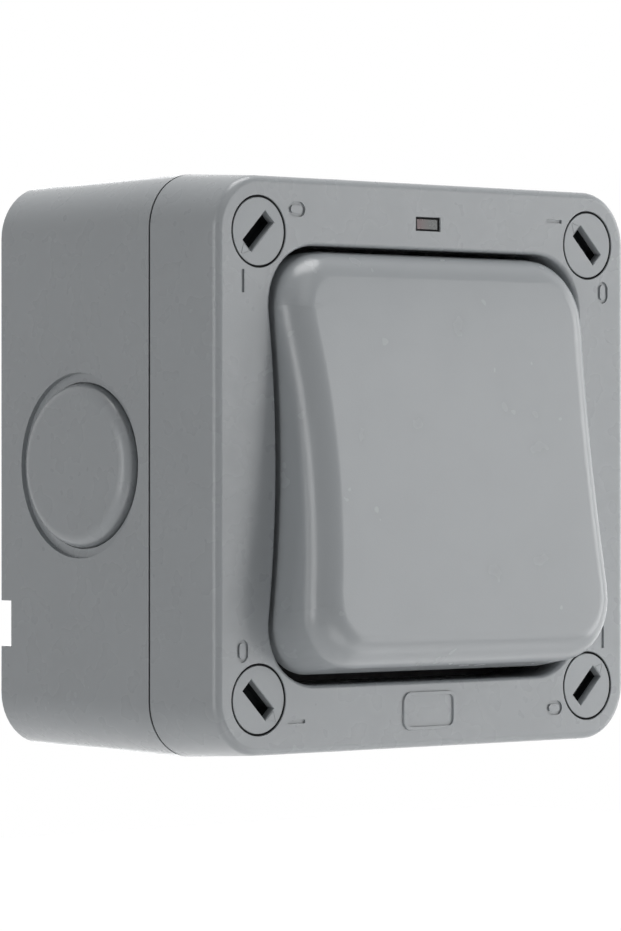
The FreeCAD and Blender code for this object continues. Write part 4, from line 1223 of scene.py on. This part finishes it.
@dataclass(frozen=True)
class PositionMark:
    """One engraved mark beside a fastener.

    The long side lies along X where upright is false, and along Z where it is true.
    """

    kind: Mark
    x: float
    z: float
    upright: bool
    length: float = 3.8 * MM
    ring_width: float = 2.5 * MM
    stroke: float = 0.62 * MM
    depth: float = 0.3 * MM
    end_share: float = 0.496

    def loop(self, name: str, inset: float, front: float, rear: float) -> Stock:
        """Makes a round-ended post of the mark's outline, inset all round.

        Args:
            name: Name of the piece.
            inset: Distance inside the outline.
            front: Height of its front.
            rear: Height of its rear.

        Returns:
            The post.
        """
        long = self.length - 2 * inset
        short = self.ring_width - 2 * inset
        width, height = (short, long) if self.upright else (long, short)
        stock = slab(name, (width, height), (self.x, self.z), (rear, front))
        stock.bevel(self.end_share * short, 10, along_depth)
        return stock

    def cutter(self, face_height: float) -> Stock:
        """Makes the space that the mark takes out of a face.

        Args:
            face_height: Height of the face it is engraved in.

        Returns:
            The cutter, which stands out of the face.
        """
        front = face_height + MM
        rear = face_height - self.depth
        if self.kind is Mark.OPEN:
            ring = self.loop("mark", 0.0, front, rear)
            ring.cut(self.loop("mark_middle", self.stroke, front + MM, rear - MM))
            return ring
        size = (self.stroke, self.length) if self.upright else (self.length, self.stroke)
        return slab("mark", size, (self.x, self.z), (rear, front))


POSITION_MARKS: tuple[PositionMark, ...] = (
    PositionMark(Mark.OPEN, -30.1 * MM, 42.4 * MM, False),
    PositionMark(Mark.LOCKED, -42.0 * MM, 30.3 * MM, True),
    PositionMark(Mark.LOCKED, 30.2 * MM, 42.4 * MM, False),
    PositionMark(Mark.OPEN, 42.3 * MM, 30.3 * MM, True),
    PositionMark(Mark.LOCKED, 42.3 * MM, -30.1 * MM, True),
    PositionMark(Mark.OPEN, 30.3 * MM, -42.1 * MM, False),
    PositionMark(Mark.OPEN, -42.1 * MM, -30.4 * MM, True),
    PositionMark(Mark.LOCKED, -30.1 * MM, -42.4 * MM, False),
)


@dataclass
class FrontCover:
    """Cover with its opening, pockets and window, and all that it carries inside.

    The groove has a width and a depth, the bearing a radius and a length, and the boss and its
    screw hole a radius and the height of one end. The window has a width, a height and the z of
    its middle. The lamp's axis lies at a height and a z.
    """

    front_size: float = 95.4 * MM
    edge_round: float = 1.3 * MM
    wall: float = 2.8 * MM
    face_thickness: float = 3.0 * MM
    groove: tuple[float, float] = (0.38 * MM, 0.9 * MM)
    skirt_end: float = 42.6 * MM
    lip_round: float = 0.7 * MM
    lip_reach: float = 37.9 * MM
    root: float = 0.4 * MM
    pocket_radius: float = 6.0 * MM
    pocket_wall: float = 1.4 * MM
    pocket_floor: float = 50.3 * MM
    pocket_floor_thickness: float = 1.8 * MM
    pocket_rim: float = 0.1 * MM
    pocket_reach: float = 6.1 * MM
    shank_hole: float = 2.9 * MM
    bearing: tuple[float, float] = (3.6 * MM, 2.6 * MM)
    bearing_root: float = 0.2 * MM
    pin_bore: float = 1.55 * MM
    boss_place: tuple[float, float] = (20.0 * MM, 40.2 * MM)
    boss: tuple[float, float] = (3.0 * MM, 41.2 * MM)
    screw_hole: tuple[float, float] = (1.45 * MM, 49.7 * MM)
    window: tuple[float, float, float] = (5.6 * MM, 2.35 * MM, 40.9 * MM)
    window_span: Span = (50 * MM, 58 * MM)
    window_rim: float = 0.15 * MM
    cradle_x: float = 4.5 * MM
    cradle_size: tuple[float, float] = (1.2 * MM, 6.0 * MM)
    cradle_rear: float = 46.4 * MM
    lamp_axis: tuple[float, float] = (48.4 * MM, 41.6 * MM)
    lamp_seat: float = 2.25 * MM
    mouth: tuple[float, float] = (2.4 * MM, 3.6 * MM)
    mouth_span: Span = (40.4 * MM, 48.4 * MM)

    def shell(self) -> Stock:
        """Makes the outer skin, hollow at the rear, with its rounded front edge.

        Returns:
            The shell.
        """
        shell = tapered("front_cover_shell", JOINT_SIZE, JOINT_HEIGHT, self.front_size,
                        FACE_HEIGHT, CASE_CORNER)
        shell.bevel(self.edge_round, 6, front_rim)
        inner = FACE_HEIGHT - self.face_thickness
        draft = (JOINT_SIZE - self.front_size) * self.face_thickness
        draft /= FACE_HEIGHT - JOINT_HEIGHT
        shell.cut(tapered("room", JOINT_SIZE - 2 * self.wall, JOINT_HEIGHT - MM,
                          self.front_size + draft - 2 * self.wall, inner,
                          CASE_CORNER - self.wall))
        return shell

    def groove_ring(self) -> Stock:
        """Makes the space of the shadow groove in the joint.

        Returns:
            The ring.
        """
        height, depth = self.groove
        top = JOINT_HEIGHT + height
        rear = JOINT_HEIGHT - MM
        ring = slab("groove", (JOINT_SIZE + MM, JOINT_SIZE + MM), MIDDLE, (rear, top))
        inner = JOINT_SIZE - 2 * depth
        ring.cut(tapered("groove_inner", inner, rear - MM, inner, top + MM,
                         CASE_CORNER - depth))
        return ring

    def inner_parts(self) -> list[Stock]:
        """Makes skirt, pockets, bearings, bosses and lamp cradles, not yet bored.

        Returns:
            The solids to add to the shell.
        """
        inner = FACE_HEIGHT - self.face_thickness + self.root
        parts = [SKIRT_OUTSIDE.stock("skirt", self.skirt_end, inner)]
        floor = self.pocket_floor - self.pocket_floor_thickness
        for place in FASTENER_PLACES:
            parts.append(post("pocket", self.pocket_radius + self.pocket_wall, place,
                              (floor, inner), sides=64))
        radius, length = self.bearing
        waist = OPENING.half_width - OPENING.waist
        for side in (-1, 1):
            parts.append(Stock.rod("bearing", radius,
                                   at(side * (waist + self.bearing_root), AXIS_HEIGHT, 0),
                                   at(side * (waist + length), AXIS_HEIGHT, 0)))
        radius, end = self.boss
        for place in four_corners(*self.boss_place):
            parts.append(post("boss", radius, place, (end, inner), sides=40))
        return parts + self.cradles(inner)

    def cradles(self, top: float) -> list[Stock]:
        """Makes the two clip ribs that hold the lamp behind the window.

        Args:
            top: Height of their roots.

        Returns:
            The two ribs.
        """
        height, z = self.lamp_axis
        made = []
        for x in (-self.cradle_x, self.cradle_x):
            rib = slab("cradle", self.cradle_size, (x, z), (self.cradle_rear, top))
            rib.cut(Stock.rod("seat", self.lamp_seat, at(x - MM, height, z),
                              at(x + MM, height, z), sides=40))
            rib.cut(slab("mouth", self.mouth, (x, z), self.mouth_span))
            made.append(rib)
        return made

    def bores(self) -> list[Stock]:
        """Makes the spaces of opening, pockets, shanks, pins, screws and window.

        Returns:
            The spaces to take out.
        """
        front = FACE_HEIGHT + MM
        spaces = [OPENING.stock("opening", JOINT_HEIGHT, front)]
        for place in FASTENER_PLACES:
            spaces.append(post("pocket_bore", self.pocket_radius, place,
                               (self.pocket_floor, front), sides=72))
            spaces.append(post("shank_hole", self.shank_hole, place, (JOINT_HEIGHT, front)))
        reach = OPENING.half_width
        spaces.append(Stock.rod("pin_bore", self.pin_bore, at(-reach, AXIS_HEIGHT, 0),
                                at(reach, AXIS_HEIGHT, 0), sides=40))
        radius, end = self.screw_hole
        for place in four_corners(*self.boss_place):
            spaces.append(post("screw_hole", radius, place, (JOINT_HEIGHT, end), sides=32))
        width, height, z = self.window
        spaces.append(slab("window", (width, height), (0.0, z), self.window_span))
        return spaces

    def round_rims(self, cover: Stock) -> None:
        """Breaks the edges that catch the light on the front.

        Args:
            cover: The bored cover.
        """
        def on_opening(point: Vector) -> bool:
            """Test for a point near the opening and clear of the pockets.

            Args:
                point: Middle of an edge.

            Returns:
                True for such a point.
            """
            from_pocket = math.hypot(abs(point.x) - FASTENER_OFFSET,
                                     abs(point.z) - FASTENER_OFFSET)
            return (max(abs(point.x), abs(point.z)) < self.lip_reach
                    and from_pocket > self.pocket_reach)

        cover.bevel(self.lip_round, 4, rim_at(FACE_HEIGHT, on_opening))
        for x, z in FASTENER_PLACES:
            cover.bevel(self.pocket_rim, 3, rim_at(FACE_HEIGHT, near(x, z, self.pocket_reach)))
        width, height, z = self.window
        cover.bevel(self.window_rim, 2, rim_at(FACE_HEIGHT,
                                               lambda p: abs(p.x) <= width / 2 + TOL
                                               and abs(p.z - z) <= height / 2 + TOL))

    def build(self) -> None:
        """Builds and dresses the cover."""
        cover = self.shell()
        cover.cut(self.groove_ring())
        for part in self.inner_parts():
            cover.add(part)
        for space in self.bores():
            cover.cut(space)
        self.round_rims(cover)
        for mark in POSITION_MARKS:
            cover.cut(mark.cutter(FACE_HEIGHT))
        cover.smooth()
        cover.dress(CASE_GREY, "enclosure", "enclosure_grey")
        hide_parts("front_cover")


@dataclass
class BadgeFrame:
    """Bare raised frame under the rocker, a rounded rectangle with nothing in it."""

    size: tuple[float, float] = (12.2 * MM, 6.5 * MM)
    centre: tuple[float, float] = (0.2 * MM, -41.55 * MM)
    corner: float = 1.7 * MM
    stroke: float = 0.62 * MM
    rise: float = 0.3 * MM
    root: float = 0.1 * MM
    edge_round: float = 0.08 * MM

    def plate(self, name: str, inset: float, span: Span) -> Stock:
        """Makes a plate with the frame's outline, inset all round.

        Args:
            name: Name of the piece.
            inset: Distance inside the outline.
            span: Heights of its rear and front faces.

        Returns:
            The stock.
        """
        width, height = self.size
        plate = slab(name, (width - 2 * inset, height - 2 * inset), self.centre, span)
        plate.bevel(self.corner - inset, 8, along_depth)
        return plate

    def build(self) -> None:
        """Builds and dresses the frame."""
        front = FACE_HEIGHT + self.rise
        rear = FACE_HEIGHT - self.root
        ring = self.plate("badge_frame", 0.0, (rear, front))
        ring.cut(self.plate("badge_inside", self.stroke, (rear - MM, front + MM)))
        ring.bevel(self.edge_round, 2, rim_at(front, lambda point: True))
        ring.smooth()
        ring.dress(CASE_GREY, "enclosure", "enclosure_grey")


@dataclass
class TurnFastener:
    """Slotted turn fastener: one is modelled, and each corner gets a copy of its own.

    The slot has a length, a width and a depth, and the lug a reach, a width and a thickness.
    The pointer has the distances of its base and tip from the axis, and half its base's width.
    """

    head_radius: float = 5.62 * MM
    head_front: float = 55.8 * MM
    head_thickness: float = 3.9 * MM
    head_rim: float = 0.1 * MM
    head_reach: float = 6 * MM
    slot: tuple[float, float, float] = (7.0 * MM, 2.7 * MM, 3.0 * MM)
    slot_rim: float = 0.14 * MM
    # Depth of the lit band at the top of the slot walls; below it the slot is painted dark as
    # shade.
    lit_depth: float = 1.5 * MM
    shank_radius: float = 2.6 * MM
    shank_root: float = 0.5 * MM
    shank_end_round: float = 0.4 * MM
    end_height: float = 28.5 * MM
    lug: tuple[float, float, float] = (4.6 * MM, 3.6 * MM, 2.6 * MM)
    lug_front: float = 32.8 * MM
    lug_round: float = 0.5 * MM
    pointer: tuple[float, float, float] = (3.6 * MM, 5.3 * MM, 1.0 * MM)
    pointer_line: float = 0.13 * MM
    pointer_depth: float = 0.07 * MM
    pointer_tip: float = 0.12
    pointer_shrink: float = 2.4
    pointer_middle: float = 0.42

    def pointer_cutter(self) -> Stock:
        """Makes the outline of the small index triangle between slot and rim.

        Returns:
            The space to take out of the head.
        """
        base, tip, half = self.pointer
        front = self.head_front + MM
        rear = self.head_front - self.pointer_depth

        def triangle(name: str, inset: float, over: float) -> Stock:
            """Makes a triangular prism.

            Args:
                name: Name of the piece.
                inset: Distance inside the outline.
                over: Extra length at both ends.

            Returns:
                The prism.
            """
            prism = Stock.block(name, (tip - base, front - rear + 2 * over, 2 * half),
                                at((base + tip) / 2, (front + rear) / 2, 0))
            prism.resize((1, 1, self.pointer_tip), Vector(), lambda v: v.co.x > tip - TOL)
            scale = 1.0 - self.pointer_shrink * inset / (tip - base)
            middle = base + self.pointer_middle * (tip - base)
            prism.resize((scale, 1, scale), at(middle, 0, 0), lambda v: True)
            return prism

        outline = triangle("pointer", 0.0, 0.0)
        outline.cut(triangle("pointer_inside", self.pointer_line, MM))
        return outline

    def master(self) -> Stock:
        """Makes one fastener on the wall's middle axis, its slot and lug towards +X.

        Returns:
            The fastener.
        """
        rear = self.head_front - self.head_thickness
        head = post("fastener", self.head_radius, MIDDLE, (rear, self.head_front), sides=72)
        head.bevel(self.head_rim, 3, rim_at(self.head_front, near(0, 0, self.head_reach)))
        shank = post("shank", self.shank_radius, MIDDLE,
                     (self.end_height, rear + self.shank_root))
        shank.bevel(self.shank_end_round, 2, at_height(self.end_height))
        reach, width, thickness = self.lug
        lug = Stock.block("lug", (reach, thickness, width),
                          at(reach / 2, self.lug_front - thickness / 2, 0))
        lug.bevel(self.lug_round, 3,
                  lambda e: along_depth(e) and e.verts[0].co.x > reach - TOL)
        shank.add(lug)
        head.add(shank)
        length, width, depth = self.slot
        slot = Stock.block("slot", (length, depth + MM, width),
                           at(0, self.head_front + (MM - depth) / 2, 0))
        # Splits the slot walls where the painted shade starts.
        slot.section(at(0, self.head_front - self.lit_depth, 0), Vector((0, 1, 0)))
        head.cut(slot)
        head.bevel(self.slot_rim, 2, rim_at(self.head_front,
                                            lambda p: abs(p.x) <= length / 2 + TOL
                                            and abs(p.z) <= width / 2 + TOL))
        head.cut(self.pointer_cutter())
        return head

    def slot_shade_faces(self, x: float, z: float) -> Test:
        """Test for the faces low in the slot of the fastener at a place, which take the painted
        shade.

        Args:
            x: X of the fastener's axis.
            z: Z of the fastener's axis.

        Returns:
            The test for one face.
        """
        length, width, depth = self.slot
        reach = math.hypot(length, width) / 2 + TOL

        def test(face: bpy.types.MeshPolygon) -> bool:
            """Test for a face between the slot's lit upper band and its floor, where shade is
            painted.

            Args:
                face: The face.

            Returns:
                True for such a face.
            """
            height = -face.center.y
            return (self.head_front - depth - TOL < height < self.head_front - self.lit_depth
                    and math.hypot(face.center.x - x, face.center.z - z) < reach)
        return test

    def build(self) -> None:
        """Builds, copies, places and dresses the four fasteners."""
        master = self.master()
        for name, (side_x, side_z) in FASTENER_SIDES.items():
            index = math.degrees(math.atan2(side_x, -side_z))
            copy = master.copy(f"turn_fastener_{name}")
            copy.turn(-index, "Y", Vector())
            x, z = side_x * FASTENER_OFFSET, side_z * FASTENER_OFFSET
            copy.shift(at(x, 0, z), lambda v: True)
            copy.smooth()
            copy.dress(HEAD_GREY, f"fastener_{name}", "enclosure_grey")
            # Paints the slot's lower walls and floor near-black as painted shade.
            copy.paint(SLOT_PAINTED_SHADE, self.slot_shade_faces(x, z))
            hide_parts(f"cover_fastener_{name}")
        bpy.data.objects.remove(master.obj)


@dataclass
class HeadShadeSleeves:
    """Thin dull black sleeves set in the pockets round each head, put there as painted shade for
    the dark gap line.
    """

    outside: float = 5.98 * MM
    inside: float = 5.66 * MM
    span: Span = (50.35 * MM, 55.7 * MM)

    def sleeve(self, place: Place) -> Stock:
        """Makes one sleeve.

        Args:
            place: X and Z of its axis.

        Returns:
            The sleeve.
        """
        rear, front = self.span
        sleeve = post("head_sleeves", self.outside, place, self.span, sides=72)
        sleeve.cut(post("sleeve_inside", self.inside, place, (rear - MM, front + MM), sides=72))
        return sleeve

    def build(self) -> None:
        """Builds and dresses the four sleeves as one piece."""
        sleeves = self.sleeve(FASTENER_PLACES[0])
        for place in FASTENER_PLACES[1:]:
            sleeves.merge(self.sleeve(place))
        sleeves.smooth()
        # Dull black finish: painted shade in the gap round each head.
        sleeves.dress(SHADE_BLACK, "enclosure", "gasket_black")


@dataclass
class JointShadeLip:
    """Dull black lip in the shadow groove between box and cover, shaped like the gasket's outer
    lip and put there as painted shade for the dark joint line.
    """

    rear: float = 39.72 * MM
    front: float = 40.06 * MM
    outside: float = 96.76 * MM
    width: float = 0.55 * MM
    corner: float = 9.1 * MM

    def build(self) -> None:
        """Builds and dresses the lip."""
        lip = tapered("joint_gasket_lip", self.outside, self.rear, self.outside, self.front,
                      self.corner)
        inner = self.outside - 2 * self.width
        lip.cut(tapered("lip_inside", inner, self.rear - MM, inner, self.front + MM,
                        self.corner - self.width))
        lip.smooth()
        # Dull black finish: painted shade in the joint's groove.
        lip.dress(SHADE_BLACK, "enclosure", "gasket_black")


@dataclass
class IndicatorLens:
    """Lens in the window, with its flange behind the face and a dull black seat round it, which is
    painted shade in the gap round the pane.

    Pane, flange and seat have a width and a height.
    """

    z: float = 40.9 * MM
    pane: tuple[float, float] = (4.95 * MM, 1.8 * MM)
    front: float = 55.65 * MM
    flange: tuple[float, float] = (7.8 * MM, 4.55 * MM)
    flange_corner: float = 0.6 * MM
    flange_heights: Span = (51.9 * MM, 52.9 * MM)
    seat: tuple[float, float] = (5.56 * MM, 2.31 * MM)
    seat_front: float = 55.76 * MM
    seat_gap: float = 0.06 * MM
    edge: float = 0.12 * MM

    def build(self) -> None:
        """Builds and dresses lens and seat."""
        low, high = self.flange_heights
        place = (0.0, self.z)
        lens = slab("indicator_lens_pane", self.pane, place, (low, self.front))
        lens.bevel(self.edge, 2, at_height(self.front))
        flange = slab("lens_flange", self.flange, place, self.flange_heights)
        flange.bevel(self.flange_corner, 5, along_depth)
        lens.add(flange)
        lens.smooth()
        lens.dress(LENS_PAINTED_SHADE, "enclosure", "lens_clear")
        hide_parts("indicator_lens")
        seat = slab("indicator_lens_seat", self.seat, place, (high, self.seat_front))
        inner = (self.pane[0] + self.seat_gap, self.pane[1] + self.seat_gap)
        seat.cut(slab("seat_inside", inner, place, (high - MM, self.seat_front + MM)))
        seat.smooth()
        # Dull black seat: painted shade in the gap round the pane.
        seat.dress(SHADE_BLACK, "enclosure", "gasket_black")


@dataclass
class StudioLamp:
    """A soft rectangular lamp that faces the switch."""

    name: str
    direction: Vector
    power: float
    distance: float = 1.3
    width: float = 0.42
    height: float = 1.0

    def hang(self) -> None:
        """Puts the lamp in the scene."""
        data = bpy.data.lights.new(self.name, "AREA")
        data.shape = "RECTANGLE"
        data.size = self.width
        data.size_y = self.height
        data.energy = self.power
        lamp = bpy.data.objects.new(self.name, data)
        bpy.context.scene.collection.objects.link(lamp)
        place = self.direction.normalized() * self.distance
        lamp.location = place
        lamp.rotation_euler = (-place).to_track_quat("-Z", "Y").to_euler()


@dataclass
class Studio:
    """Camera, lamps, white surround and the pale floor under the switch."""

    camera_turn: float = -42.35
    camera_place: Vector = Vector((-571.3 * MM, -653.0 * MM, 0.0))
    lens: float = 188.35
    sensor: float = 36.0
    clip: tuple[float, float] = (0.01, 50.0)
    ambient: float = 0.0
    floor_size: float = 14.0
    floor_drop: float = 0.75
    floor_tones: tuple[float, float] = (0.8, 0.82)
    floor_cloud: float = 0.4
    floor_rough: float = 0.9
    floor_glow: float = 0.96

    def set_camera(self) -> None:
        """Sets the camera at the photograph's place, level, turned to the left of the front."""
        data = bpy.data.cameras.new("camera")
        data.lens = self.lens
        data.sensor_width = self.sensor
        data.sensor_fit = "AUTO"
        data.clip_start, data.clip_end = self.clip
        camera = bpy.data.objects.new("camera", data)
        bpy.context.scene.collection.objects.link(camera)
        camera.location = self.camera_place
        camera.rotation_euler = (math.radians(90), 0, math.radians(self.camera_turn))
        bpy.context.scene.camera = camera

    @staticmethod
    def seen_rays(tree: bpy.types.NodeTree) -> bpy.types.NodeSocket:
        """Adds a switch between the rays that see a surface and those that light it.

        Args:
            tree: The node tree it is added to.

        Returns:
            1 for camera, glossy and transmission rays, and 0 for others.
        """
        path = tree.nodes.new("ShaderNodeLightPath")
        seen = path.outputs["Is Camera Ray"]
        for kind in ("Is Glossy Ray", "Is Transmission Ray"):
            either = tree.nodes.new("ShaderNodeMath")
            either.operation = "MAXIMUM"
            tree.links.new(seen, either.inputs[0])
            tree.links.new(path.outputs[kind], either.inputs[1])
            seen = either.outputs["Value"]
        return seen

    def set_world(self) -> None:
        """White behind the object, softer light on it."""
        world = bpy.data.worlds.new("surround")
        bpy.context.scene.world = world
        world.use_nodes = True
        nodes = world.node_tree.nodes
        links = world.node_tree.links
        back = nodes["Background"]
        back.inputs["Color"].default_value = (1, 1, 1, 1)
        strength = nodes.new("ShaderNodeMapRange")
        strength.inputs["To Min"].default_value = self.ambient
        strength.inputs["To Max"].default_value = 1.0
        links.new(self.seen_rays(world.node_tree), strength.inputs["Value"])
        links.new(strength.outputs["Result"], back.inputs["Strength"])

    def lay_floor(self) -> None:
        """Pale floor well below the switch, which hangs in the air as on its wall."""
        deselect_all()
        bpy.ops.mesh.primitive_plane_add(size=self.floor_size, location=(0, 0, -self.floor_drop))
        floor = bpy.context.object
        floor.name = "floor"
        sheet = NodeSheet("floor_pale")
        dark, light = self.floor_tones
        sheet.colour(sheet.noise(self.floor_cloud), (dark, dark, dark), (light, light, light))
        sheet.set("Roughness", self.floor_rough)
        glow = sheet.nodes.new("ShaderNodeMapRange")
        glow.inputs["To Max"].default_value = self.floor_glow
        sheet.links.new(self.seen_rays(sheet.mat.node_tree), glow.inputs["Value"])
        sheet.set("Emission Color", (1, 1, 1, 1))
        sheet.links.new(glow.outputs["Result"], sheet.shader.inputs["Emission Strength"])
        floor.data.materials.append(sheet.mat)

    def build(self) -> None:
        """Sets up everything that isn't part of the switch."""
        self.set_camera()
        self.set_world()
        self.lay_floor()
        for lamp in LAMPS:
            lamp.hang()


def around(azimuth: float, elevation: float = 0.0) -> Vector:
    """Direction at an angle from +X in plan and a height above the level.

    Args:
        azimuth: Angle in plan, in degrees.
        elevation: Angle above the level, in degrees.

    Returns:
        The unit direction.
    """
    turn, rise = math.radians(azimuth), math.radians(elevation)
    return Vector((math.cos(rise) * math.cos(turn), math.cos(rise) * math.sin(turn),
                   math.sin(rise)))


LAMPS: tuple[StudioLamp, ...] = (
    StudioLamp("key_front_right", around(-47), 3.2),
    StudioLamp("key_right", around(-25), 5.0),
    StudioLamp("panel_right", around(0), 1.1),
    StudioLamp("panel_right_rear", around(30), 1.2),
    StudioLamp("panel_rear", around(60), 3.0),
    StudioLamp("strip_left_rear", around(163), 1.25, width=0.2),
    StudioLamp("panel_left", around(-171), 4.7, width=0.45),
    StudioLamp("fill_low_right", around(-47, -36), 0.85, distance=1.0, width=0.6, height=0.4),
    StudioLamp("fill_low_front", around(-100, -36), 1.2, distance=1.0, width=0.6, height=0.4),
    StudioLamp("fill_high_front", around(-95, 42), 1.2, width=0.7, height=0.6),
    StudioLamp("overhead", around(-20, 80), 11.8, distance=1.2, width=0.8, height=0.8),
)


def main() -> None:
    """Builds the pieces in order."""
    logging.basicConfig(level=logging.INFO, format="%(message)s")
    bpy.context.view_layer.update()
    bpy.context.scene.view_settings.view_transform = "Standard"
    Studio().build()
    dress_frame_nodes()
    for assembly in (BackBox(), FrontCover(), BadgeFrame(), IndicatorLens(), Rocker(),
                     TurnFastener(), HeadShadeSleeves(), JointShadeLip()):
        LOG.info("building %s", type(assembly).__name__)
        assembly.build()


if __name__ == "__main__":
    main()
